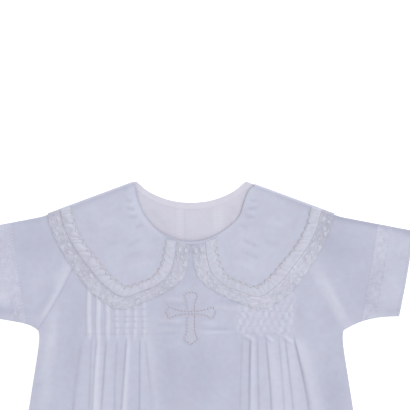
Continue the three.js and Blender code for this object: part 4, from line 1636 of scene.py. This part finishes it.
@dataclass(frozen=True)
class TrimTone:
    """How the trim of one collar half is shaded, above zero darker.

    Attributes:
        gathers: Strength of the painted shade and highlight of the gathers where the band is fullest.
        band_foot: Shading along the band's outer edge.
        lace_high: Shading of the lace by the shoulder.
        lace_low: Shading of the lace further down.
        lace_foot: Shading along the lace's footing.
    """

    gathers: float
    band_foot: float
    lace_high: float
    lace_low: float
    lace_foot: float


# Painted shade of each collar half's trim: darker above zero, paler below.
TRIM_TONES = {
    Side.LEFT: TrimTone(2.6, 0.08, -0.12, -0.14, 0.10),
    Side.RIGHT: TrimTone(1.3, -0.3, 0.30, -0.42, -0.55),
}


@dataclass(frozen=True)
class LaceMotif:
    """One flower or leaf of a scallop, in scallops along the lace and shares across it.

    Attributes:
        aside: Place along the lace from the scallop's middle.
        across: Place across the lace.
        wide: Half width along the lace.
        tall: Half width across the lace.
        petals: Number of petals.
    """

    aside: float
    across: float
    wide: float
    tall: float
    petals: int


LACE_MOTIFS = (
    LaceMotif(0.0, 0.84, 0.20, 0.07, 5),
    LaceMotif(0.0, 0.56, 0.19, 0.06, 5),
    LaceMotif(0.5, 0.70, 0.15, 0.06, 4),
    LaceMotif(0.36, 0.90, 0.07, 0.03, 2),
    LaceMotif(-0.36, 0.90, 0.07, 0.03, 2),
    LaceMotif(0.5, 0.49, 0.08, 0.03, 2),
)


class CollarLine(Enum):
    """The lines that run along the collar."""

    NECK = "neck"
    SEAM = "seam"
    EDGE = "edge"


@dataclass
class Collar:
    """One half of the collar: cloth, puffed band and lace, from centre front round to centre back."""

    side: Side
    fold_seam: float = 109.0
    fold_edge: float = 129.5
    band_share: float = 0.4
    scallops: int = 17
    scallop_share: float = 0.045
    puffs: int = 25
    puff_height: float = 0.45
    droop: float = 1.0
    overlap: float = 0.03
    band_lift: tuple[float, float] = (0.45, 0.1)
    # Creases with painted shade and highlight; the broad ones of height 0 are patches of painted shade or
    # light alone.
    creases: tuple[Crease, ...] = (
        Crease(78.0, 58.0, 66.0, 54.0, -0.35, 1.8, 0.20),
        Crease(60.0, 59.0, 45.0, 52.0, -0.40, 1.6, 0.24),
        Crease(62.0, 70.0, 44.0, 63.0, -0.35, 1.8, 0.20),
        Crease(53.0, 18.0, 60.0, 16.5, -0.30, 1.0, 0.30),
        Crease(50.5, 25.0, 59.0, 24.0, -0.35, 1.1, 0.34),
        Crease(48.0, 32.0, 57.0, 32.5, -0.40, 1.2, 0.34),
        Crease(43.0, 39.0, 51.0, 42.0, -0.35, 1.3, 0.28),
        Crease(52.5, 21.5, 60.0, 20.5, 0.30, 1.1, -0.20),
        Crease(49.5, 28.5, 58.0, 28.0, 0.30, 1.2, -0.22),
        Crease(84.0, 40.0, 66.0, 36.0, 0.30, 3.0, -0.16),
        Crease(58.0, 78.0, 36.0, 72.0, 0.25, 3.0, -0.14),
        Crease(96.0, 30.0, 90.0, 46.0, -0.20, 4.0, 0.08),
        Crease(70.0, 12.0, 56.0, 34.0, 0.0, 10.0, 0.08),
        Crease(52.0, 44.0, 40.0, 62.0, 0.2, 7.0, -0.08))

    def __post_init__(self) -> None:
        """Works out the curves of the front and back halves."""
        self.front = self._curves(FRONT_COLLAR, CUT.front_neck)
        self.back = self._curves(BACK_COLLAR, CUT.back_neck)

    def _curves(
        self, sections: tuple[CollarSection, ...], neck: Callable[[Grid], Grid],
    ) -> dict[CollarLine, Curve]:
        """The neck, seam and lace curves of one half.

        Args:
            sections: Sections from the centre to the shoulder.
            neck: Gives the drop of the neck edge.

        Returns:
            The curves by line.
        """
        def fold(x: float) -> tuple[float, float]:
            """A place on the shoulder fold."""
            return x, float(CUT.top_drop(np.array(x)))

        return {
            CollarLine.NECK: Curve(
                [(s.neck, float(neck(np.array(s.neck)))) for s in sections] + [fold(CUT.neck_half)]),
            CollarLine.SEAM: Curve([(s.seam_x, s.seam_drop) for s in sections] + [fold(self.fold_seam)]),
            CollarLine.EDGE: Curve([(s.edge_x, s.edge_drop) for s in sections] + [fold(self.fold_edge)]),
        }

    def spot(
        self, way: Grid, first: CollarLine, last: CollarLine, share: Grid, raised: Grid | float = 0.0,
    ) -> tuple[Grid, Grid, Grid]:
        """Places on the collar.

        Args:
            way: 0 to 1 along the front half, 1 to 2 over the roll, 2 to 3 along the back half.
            first: Line at share 0.
            last: Line at share 1.
            share: Shares between the curves.
            raised: Height over the cloth's middle.

        Returns:
            The points, and the across and drop of each.
        """
        way, share = np.broadcast_arrays(np.asarray(way, float), np.asarray(share, float))
        ahead, behind = np.clip(way, 0.0, 1.0), np.clip(3.0 - way, 0.0, 1.0)
        flat = np.where((way <= 2.0)[..., None],
                        mix(self.front[first].at(ahead), self.front[last].at(ahead), share[..., None]),
                        mix(self.back[first].at(behind), self.back[last].at(behind), share[..., None]))
        x, drop = flat[..., 0], flat[..., 1]
        if self.side is Side.RIGHT:
            x, drop = CUT.turn_back(x, drop)
        turn = math.pi * np.clip(way - 1.0, 0.0, 1.0)
        rolled = CUT.wall / 2 + CUT.roll * (1.0 + np.cos(turn))
        level = np.where(way <= 1.0, CUT.collar_level(x, drop), rolled)
        if last is CollarLine.EDGE:
            smocked = smooth(34.0, 40.0, x) * (1.0 - smooth(94.0, 100.0, x))
            sag = self.droop * (0.7 + (0.95 - 0.4 * smocked) * smooth(68.0, 85.0, drop))
            level = level - sag * share**2 * (1.0 - smooth(0.8, 1.0, way))
        reach = (CUT.roll + raised) * np.sin(turn)
        normal = CUT.roll_normal
        height = level + np.cos(turn) * raised
        points = CUT.place(self.side.value * (x + normal[0] * reach), drop - normal[1] * reach, height)
        return points, x, drop

    @staticmethod
    def ways(front: int, roll: int, back: int) -> Grid:
        """Shares of the way along the collar with given numbers of steps."""
        return np.concatenate([np.linspace(0.0, 1.0, front), np.linspace(1.0, 2.0, roll)[1:-1],
                               np.linspace(2.0, 3.0, back)])

    def body(self) -> bpy.types.Object:
        """Makes the plain cloth of the collar.

        Returns:
            The object.
        """
        way = self.ways(100, 11, 70)[:, None]
        share = np.linspace(0.0, 1.0, 46)[None]
        _, x, drop = self.spot(way, CollarLine.NECK, CollarLine.SEAM, share)
        marks, shade = lay(self.creases, x, drop)
        ahead = 1.0 - smooth(0.9, 1.0, np.broadcast_to(way, x.shape))
        raised = (marks - 0.65 * swell(share, 0.06)) * ahead
        points, _, _ = self.spot(way, CollarLine.NECK, CollarLine.SEAM, share, raised)
        # Darker along the band seam, painted shade along the shoulder fold, and paler by the neck edge.
        seam, fold = 0.3 * swell(share - 1.0, 0.02), 0.3 * swell(way - 1.0, 0.02)
        shade = shade * ahead + seam + fold - 0.12 * swell(share, 0.1)
        return Maker.shell(f"collar_{self.side.word}_cloth", points, shade)

    def band(self) -> bpy.types.Object:
        """Makes the puffed band with its uneven gathers.

        Returns:
            The object.
        """
        way = self.ways(300, 11, 200)[:, None]
        part = np.linspace(0.0, 1.0, 11)[None]
        share = mix(-self.overlap, self.band_share, part)
        beat = way * self.puffs + 0.55 * np.sin(way * 37.0 + 1.3) + 0.35 * np.sin(way * 83.0)
        gather = np.abs(np.sin(math.pi * beat - 1.8 * (part - 0.5) + 0.25 * np.sin(5.0 * beat)))
        fuller = mix(1.0, 1.5, smooth(0.45, 0.95, way))
        lift = self.puff_height * fuller * np.sin(math.pi * part) ** 0.7 * (0.25 + 0.75 * gather)
        upper = np.where(way <= 1.0, 1.0, 0.35)
        raised = (mix(*self.band_lift, part) + lift) * upper
        points, _, _ = self.spot(way, CollarLine.SEAM, CollarLine.EDGE, share, raised)
        # Painted shade in the gather lines and a painted highlight on the puffs; darker along the seam edge,
        # and painted shade or light along the outer edge.
        shade = 0.18 * swell(gather, 0.36) - 0.14 * gather**2 * np.sin(math.pi * part)
        tone = TRIM_TONES[self.side]
        shade = shade * mix(0.85, tone.gathers, smooth(0.45, 0.95, way))
        shade = shade + 0.08 * swell(part, 0.1) + tone.band_foot * swell(part - 1.0, 0.12)
        return Maker.shell(f"collar_band_{self.side.word}_cloth", points, shade, thick=0.3)

    def along(self, count: int) -> tuple[Grid, Grid]:
        """Even steps along the lace's edge: ways, and scallop beats that run on from front to back.

        Args:
            count: Number of steps in each half.

        Returns:
            The ways and the beats.
        """
        even = np.linspace(0.0, 1.0, count)
        front = self.front[CollarLine.EDGE].evenly(even)
        back = 3.0 - self.back[CollarLine.EDGE].evenly(even[::-1])
        roll = np.linspace(1.0, 2.0, 7)[1:-1]
        way = np.concatenate([front, roll, back])
        fold = np.ones(len(roll))
        beat = self.scallops * np.concatenate([even, fold, 1.0 + even])
        return way, beat

    def reach(self, beat: Grid) -> Grid:
        """How far across the lace reaches at a scallop beat."""
        depth = self.scallop_share * smooth(0.0, 2.0, beat)
        return 1.0 - depth * (1.0 - np.abs(np.sin(math.pi * beat)) ** 0.8)

    def lace(self) -> bpy.types.Object:
        """Makes the net ground of the lace with its scalloped edge.

        Returns:
            The object.
        """
        way, beat = self.along(240)
        first = self.band_share - self.overlap
        part = np.linspace(0.0, 1.0, 9)[None]
        share = first + (self.reach(beat)[:, None] - first) * part
        wave = 0.1 * np.sin(2 * math.pi * beat)[:, None] * part**2
        raised = wave * (way <= 1.0)[:, None]
        points, _, drop = self.spot(way[:, None], CollarLine.SEAM, CollarLine.EDGE, share, raised)
        tone = TRIM_TONES[self.side]
        # Painted shade of the lace from the shoulder down, and painted shade or light along its footing.
        shade = mix(tone.lace_high, tone.lace_low, smooth(40.0, 75.0, drop))
        shade = shade + tone.lace_foot * swell(part - 0.1, 0.08)
        return Maker.shell(f"collar_lace_{self.side.word}_cloth", points, shade, thick=0.25)

    def _lace_spot(self, beat: Grid, share: Grid, raised: float) -> Grid:
        """Points on the lace at scallop beats and shares across it.

        Args:
            beat: Scallops along the lace, with fractions.
            share: Shares across it.
            raised: Height over it.

        Returns:
            The points.
        """
        at = np.asarray(beat, float) / self.scallops
        front = self.front[CollarLine.EDGE].evenly(np.clip(at, 0.0, 1.0))
        back = 3.0 - self.back[CollarLine.EDGE].evenly(np.clip(2.0 - at, 0.0, 1.0))
        way = np.where(at <= 1.0, front, back)
        points, _, _ = self.spot(way, CollarLine.SEAM, CollarLine.EDGE, share, raised)
        return points

    def flowers(self) -> bpy.types.Object:
        """Makes the flowers and leaves worked on the net.

        Returns:
            The object.
        """
        turn = np.linspace(0.0, 2 * math.pi, 16, endpoint=False)
        rims = []
        for i in range(2 * self.scallops):
            if i == self.scallops:
                continue
            for k, motif in enumerate(LACE_MOTIFS):
                size = 1.0 + 0.35 * math.sin(2.3 * i + 1.7 * k)
                radius = size * (1.0 + 0.34 * np.cos(motif.petals * turn + i + k))
                tilt, stray = 0.4 * math.sin(i + 2.0 * k), 0.09 * math.sin(3.1 * i + k)
                beat = i + 0.5 + motif.aside + stray + motif.wide * radius * np.cos(turn + tilt)
                lift = 0.025 * math.sin(1.9 * i + 2.0 * k)
                share = np.minimum(motif.across + motif.tall * radius * np.sin(turn) + lift, 0.94)
                rims.append(self._lace_spot(np.clip(beat, 0.02, 2 * self.scallops - 0.02), share, 0.17))
        return Maker.patches(f"collar_lace_{self.side.word}_flowers", np.array(rims), 0.12)

    def cords(self) -> bpy.types.Object:
        """Makes the outline cord of the lace's scalloped edge.

        Returns:
            The object.
        """
        beat = np.linspace(0.0, 2.0 * self.scallops, 681)
        edge = self._lace_spot(beat, self.reach(beat) - 0.016, 0.02)
        return Maker.threads(f"collar_lace_{self.side.word}_cords", edge[None], 0.15)

    def footing(self) -> bpy.types.Object:
        """Makes the pale cord along the lace's straight footing, where it is sewn to the band.

        Returns:
            The object.
        """
        beat = np.linspace(0.0, 2.0 * self.scallops, 681)
        foot = self._lace_spot(beat, np.full_like(beat, self.band_share + 0.014), 0.16)
        return Maker.threads(f"collar_lace_{self.side.word}_footing", foot[None], 0.26)

    def feather(self) -> bpy.types.Object:
        """Makes the feather stitching on the seam between cloth and band.

        Returns:
            The object.
        """
        paths = []
        for half in (self.front, self.back):
            ahead = half is self.front
            even = np.linspace(0.012, 0.988, 46)
            way = half[CollarLine.SEAM].evenly(even)
            zig = np.where(np.arange(len(way)) % 2, 0.065, -0.07)
            full = way if ahead else 3.0 - way
            raised = 0.74 if ahead else 0.0
            points, _, _ = self.spot(full, CollarLine.SEAM, CollarLine.EDGE, zig, raised)
            paths.extend(np.linspace(points[i], points[i + 1], 4) for i in range(len(points) - 1))
        return Maker.threads(f"collar_feather_{self.side.word}", np.array(paths), 0.32, taper=0.3)

    def dress(self) -> None:
        """Builds and dresses this half of the collar."""
        over = ("front_cloth",)
        cloths = (
            ("collar", self.body(), COLLAR_CLOTH, Slot.BATISTE, SheetCut(0.20, 0.115, Held.FOLDED, over)),
            ("collar_band", self.band(), PUFFED, Slot.PUFFED, SheetCut(0.50, 0.0105, Held.GATHERED, over)),
            ("collar_lace", self.lace(), NET, Slot.LACE, SheetCut(0.42, 0.0125, Held.FOLDED, over)),
        )
        for node, piece, finish, slot, cut in cloths:
            Dresser.cloth(piece, finish, slot, cut, f"{node}_{self.side.word}")
        Dresser.dress(self.flowers(), MOTIF, Slot.LACE)
        Dresser.dress(self.cords(), NET, Slot.LACE)
        Dresser.dress(self.footing(), FOOTING, Slot.LACE)
        Dresser.dress(self.feather(), FEATHER, Slot.BATISTE)


@dataclass
class NeckAndOpening:
    """The neck binding, the facings inside the back neck, the placket and the buttons."""

    binding_width: float = 2.0
    binding_lap: float = 1.1
    facing_width: float = 6.0
    facing_reach: float = 58.5
    facing_rise: float = 1.6
    placket: tuple[float, float, float, float] = (-5.5, 6.0, 25.6, 172.0)
    buttons: tuple[tuple[str, float], ...] = (
        ("button_top", 76.0), ("button_middle", 115.0), ("button_low", 154.0))
    button_radius: float = 4.5

    def binding(self) -> bpy.types.Object:
        """Makes the narrow rounded binding along the front neck edge.

        Returns:
            The object.
        """
        turn = np.radians(np.linspace(-84.0, 87.0, 142))[:, None]
        x, drop = CUT.neck_half * np.sin(turn), CUT.front_neck_drop * np.cos(turn)
        out = np.concatenate([x / CUT.neck_half**2, drop / CUT.front_neck_drop**2], axis=1)
        out /= np.linalg.norm(out, axis=1, keepdims=True)
        ring = np.linspace(0.0, 2 * math.pi, 16, endpoint=False)[None]
        across = 0.5 * self.binding_width * np.sign(np.cos(ring)) * np.abs(np.cos(ring)) ** 0.7
        wider = 0.5 * (1.0 - smooth(18.0, 30.0, np.abs(x))) * (across > 0.0)
        across = across + self.binding_lap - self.binding_width / 2 + wider
        aside = smooth(20.0, 32.0, np.abs(x))
        up = mix(0.6, 0.45, aside) * np.sign(np.sin(ring)) * np.abs(np.sin(ring)) ** 0.7
        level = CUT.front_level(x, drop) + mix(0.4, 0.2, aside)
        ripple = 0.06 * np.sin(9.0 * turn + 1.0) * np.sin(ring)
        spot_x, spot_drop = CUT.turn_back(x + out[:, :1] * across, drop + out[:, 1:] * across)
        points = CUT.place(spot_x, spot_drop, level + up + ripple)
        # Painted shadow along the binding's inner side where it meets the back, strongest on the left.
        shade = mix(0.5, 0.1, smooth(-20.0, 30.0, x)) * swell(across + 0.9, 0.9)
        return Maker.shell("neck_binding_cloth", points, shade, wrap=True, thick=0.5)

    def facing(self, side: Side) -> bpy.types.Object:
        """Makes the bias facing inside one half of the back neck.

        Args:
            side: Which half.

        Returns:
            The object.
        """
        x = np.linspace(0.02, self.facing_reach, 76)[:, None]
        part = np.linspace(0.0, 1.0, 9)[None]
        rise = self.facing_rise * smooth(38.0, 51.0, x)
        drop = np.maximum(CUT.back_neck(x), CUT.top_drop(x)) - rise + (self.facing_width + rise) * part
        level = CUT.back_level(x, drop) + 0.36
        shade = np.broadcast_to(-0.26 + 0.06 * swell(part - 1.0, 0.1), drop.shape)
        middle = CUT.place(side.value * x, drop, level)
        return Maker.shell(f"neck_facing_{side.word}_cloth", middle, shade, thick=0.2)

    def underlap(self) -> bpy.types.Object:
        """Makes the placket strip behind the back opening.

        Returns:
            The object.
        """
        left, right, start, end = self.placket
        x = np.linspace(left, right, 15)[None]
        drop = np.linspace(start, end, 110)[:, None]
        level = CUT.back_level(x, drop) + 0.38 + 0.03 * np.sin(drop / 7.0) * np.sin((x - left) / 4.0)
        shade = np.broadcast_to(0.06 * swell(x - left, 0.8), level.shape)
        return Maker.shell("back_placket_cloth", CUT.place(x, drop, level), shade, thick=0.2)

    def button(self, name: str, drop: float) -> bpy.types.Object:
        """Makes one small button with a rim and four thread holes.

        Args:
            name: Name of its node.
            drop: Place down the gown.

        Returns:
            The object.
        """
        profile = np.array([(0.5, 0.62), (1.3, 0.62), (2.4, 0.64), (3.1, 0.72), (3.6, 0.94), (4.1, 0.98),
                            (4.42, 0.78), (self.button_radius, 0.5), (4.3, 0.2), (3.6, 0.04)])
        turn = np.linspace(0.0, 2 * math.pi, 40, endpoint=False)[None]
        radius, level = profile[:, :1], profile[:, 1:]
        x, y = radius * np.cos(turn), radius * np.sin(turn)
        hole = sum(swell(np.hypot(x - a, y - b), 0.45) for a in (-0.9, 0.9) for b in (-0.9, 0.9))
        body = CUT.place(x, drop + y, level - 0.35 * hole * (level > 0.5))
        middles = CUT.place(np.zeros(2), np.full(2, drop), np.array([0.62, 0.04]))
        points = np.concatenate([body.reshape(-1, 3), middles])
        rows, around = len(radius), turn.shape[1]
        number = np.arange(rows * around).reshape(rows, around)
        beyond = np.roll(number, -1, axis=1)
        skin = np.stack([number[:-1], number[1:], beyond[1:], beyond[:-1]], axis=-1)
        faces = skin.reshape(-1, 4).tolist()
        faces += [[rows * around, a, b] for a, b in zip(number[0].tolist(), beyond[0].tolist())]
        faces += [[rows * around + 1, b, a] for a, b in zip(number[-1].tolist(), beyond[-1].tolist())]
        return Maker.piece(f"{name}_disc", points, faces)

    def dress(self) -> None:
        """Builds and dresses the neck and the back opening."""
        strip = SheetCut(0.165, 0.0105, Held.FOLDED, ("front_cloth",))
        Dresser.cloth(self.binding(), COLLAR_CLOTH, Slot.BATISTE, strip, "neck_binding")
        for side in Side:
            cut = SheetCut(0.062, 0.011, Held.LAID, (f"back_{side.word}_cloth",))
            Dresser.cloth(self.facing(side), INSIDE, Slot.BATISTE, cut, f"neck_facing_{side.word}")
        cut = SheetCut(0.012, 0.147, Held.LAID, ("back_left_cloth", "back_right_cloth"))
        Dresser.cloth(self.underlap(), INSIDE, Slot.BATISTE, cut, "back_placket")
        for name, drop in self.buttons:
            Dresser.dress(self.button(name, drop), BUTTON, Slot.PEARL, name)


@dataclass
class CrossEmbroidery:
    """The plain cross outlined in small stitches at the centre front.

    Attributes:
        front: The panel that it is worked on.
        stitch: Length of one stitch.
        gap: Space between stitches.
        radius: Radius of the pale cord.
        edge_radius: Radius of the thin darker thread that paints the cord's shadow.
        edge_inset: How far inside the cord the painted shadow thread lies.
        bar: Half outline of the bar across.
        upper: Half outline of the upper arm.
        lower: Half outline of the lower arm.
    """

    front: FrontPanel
    stitch: float = 2.0
    gap: float = 0.9
    radius: float = 0.42
    edge_radius: float = 0.2
    edge_inset: float = 0.65
    bar: tuple[tuple[float, float], ...] = (
        (0.0, 116.1), (8.0, 115.8), (14.0, 114.6), (17.8, 112.8), (20.2, 112.8), (22.8, 118.0),
        (19.8, 123.4), (17.6, 123.4), (14.0, 121.0), (8.0, 119.7), (0.0, 119.6))
    upper: tuple[tuple[float, float], ...] = (
        (3.7, 115.6), (3.8, 111.5), (4.6, 107.0), (6.2, 103.6), (6.2, 102.0), (4.8, 100.2), (2.4, 99.2),
        (0.0, 98.9))
    lower: tuple[tuple[float, float], ...] = (
        (4.0, 120.6), (3.9, 128.0), (4.0, 134.6), (5.2, 138.4), (6.7, 142.0), (5.0, 143.6), (0.0, 147.4))

    def outlines(self) -> list[Grid]:
        """The outlines: the bar across, the upper arm and the lower arm.

        Returns:
            The places along each outline.
        """
        def mirrored(half: tuple[tuple[float, float], ...]) -> Grid:
            """A half outline joined to its mirror image."""
            spots = np.array(half)
            return np.concatenate([spots, (spots * [-1.0, 1.0])[::-1]])

        return [mirrored(self.bar), mirrored(self.upper), mirrored(self.lower)]

    @staticmethod
    def inset(outline: Grid, depth: float) -> Grid:
        """An outline moved inwards.

        Args:
            outline: Places along the outline.
            depth: How far to move it.

        Returns:
            The moved places.
        """
        along = np.gradient(outline, axis=0)
        away = np.stack([along[:, 1], -along[:, 0]], axis=1)
        away /= np.linalg.norm(away, axis=1, keepdims=True)
        outward = np.sign(np.sum(away * (outline - outline.mean(axis=0))))
        return outline - outward * depth * away

    def build(self, name: str, inset: float, radius: float) -> bpy.types.Object:
        """Makes the stitches of one thread.

        Args:
            name: Name of the piece.
            inset: How far inside the outline the thread lies.
            radius: Radius of the thread.

        Returns:
            The object.
        """
        paths = []
        for shape in self.outlines():
            outline = self.inset(shape, inset)
            run = np.concatenate([[0.0], np.cumsum(np.linalg.norm(np.diff(outline, axis=0), axis=1))])
            count = int(run[-1] / (self.stitch + self.gap))
            step = run[-1] / count
            for i in range(count):
                at = np.linspace(i * step, i * step + self.stitch * step / (self.stitch + self.gap), 6)
                paths.append(np.stack([np.interp(at, run, way) for way in outline.T], axis=-1))
        x, drop = np.moveaxis(np.array(paths), -1, 0)
        level = self.front.height(x, drop)[0] + SETTLE + CLOTH / 2
        arch = 0.22 * np.sin(np.linspace(0.0, math.pi, 6)) + 0.05
        return Maker.threads(name, CUT.place(x, drop, level + arch), radius, sides=7, taper=0.5)

    def dress(self) -> None:
        """Builds and dresses the cross: a pale cord, and inside it a thin darker thread that paints the
        cord's shadow.
        """
        cord = self.build("cross_stitches", 0.0, self.radius)
        Dresser.dress(cord, CROSS, Slot.BATISTE)
        # Painted shadow: a thin darker thread inside the cord.
        edge = self.build("cross_painted_shadow_stitches", self.edge_inset, self.edge_radius)
        Dresser.dress(edge, CROSS_SHADOW, Slot.BATISTE)


@dataclass
class Studio:
    """The floor, the light and the camera, which looks straight down."""

    centre_x: float = 12.6
    centre_drop: float = 21.15
    half_width: float = 184.5
    lens: float = 85.0
    sensor: float = 36.0
    look_height: float = 4.0
    floor_half: float = 6.0
    floor_level: float = -0.0003
    floor_glow: float = 0.4
    room_light: float = 0.80
    key_energy: float = 1.25
    key_angle: float = 60.0
    key_way: tuple[float, float, float] = (-0.58, -0.36, -0.73)

    def floor(self) -> None:
        """Makes the pale floor."""
        mesh = bpy.data.meshes.new("floor")
        corners = ((-1, -1), (1, -1), (1, 1), (-1, 1))
        spots = [(self.floor_half * x, self.floor_half * y, self.floor_level) for x, y in corners]
        mesh.from_pydata(spots, [], [(0, 1, 2, 3)])
        made = bpy.data.objects.new("floor", mesh)
        bpy.context.scene.collection.objects.link(made)
        paper = bpy.data.materials.new("pale floor")
        paper.use_nodes = True
        bench = Bench(paper.node_tree)
        shader = paper.node_tree.nodes["Principled BSDF"]
        grain = bench.add("ShaderNodeTexNoise", {"Scale": 60.0, "Detail": 3.0})
        colour = bench.blend((0.93, 0.93, 0.93, 1.0), (0.96, 0.96, 0.96, 1.0), grain.outputs["Fac"])
        bench.put(shader, {
            "Base Color": colour, "Emission Color": colour, "Emission Strength": self.floor_glow,
            "Roughness": 0.95, "Specular IOR Level": 0.0})
        made.data.materials.append(paper)

    def light(self) -> None:
        """Makes the soft surrounding light and a broad key from the upper right."""
        world = bpy.data.worlds.new("soft room")
        world.use_nodes = True
        back = world.node_tree.nodes["Background"]
        back.inputs["Color"].default_value = (0.985, 0.99, 1.0, 1.0)
        back.inputs["Strength"].default_value = self.room_light
        bpy.context.scene.world = world
        key = bpy.data.lights.new("key", "SUN")
        key.energy = self.key_energy
        key.angle = math.radians(self.key_angle)
        key.color = (1.0, 0.99, 0.98)
        lamp = bpy.data.objects.new("key", key)
        lamp.rotation_euler = Vector(self.key_way).to_track_quat("-Z", "Y").to_euler()
        bpy.context.scene.collection.objects.link(lamp)

    def camera(self) -> None:
        """Makes the overhead camera at the picture's scale."""
        data = bpy.data.cameras.new("camera")
        data.lens = self.lens
        data.sensor_width = self.sensor
        data.clip_start, data.clip_end = 0.01, 50.0
        made = bpy.data.objects.new("camera", data)
        away = self.half_width * self.lens / (self.sensor / 2) + self.look_height
        made.location = (self.centre_x * MM, (CUT.top_y - self.centre_drop) * MM, away * MM)
        bpy.context.scene.collection.objects.link(made)
        bpy.context.scene.camera = made

    def build(self) -> None:
        """Sets up the whole studio."""
        self.floor()
        self.light()
        self.camera()
        bpy.context.scene.view_settings.view_transform = "Standard"


def main() -> None:
    """Builds the gown's pieces in order."""
    logging.basicConfig(level=logging.INFO, format="%(name)s: %(message)s")
    front = FrontPanel()
    Studio().build()
    for side in Side:
        BackPanel(side).dress()
    front.dress()
    for side in Side:
        Sleeve(side).dress()
        Collar(side).dress()
    NeckAndOpening().dress()
    CrossEmbroidery(front).dress()


if __name__ == "__main__":
    main()
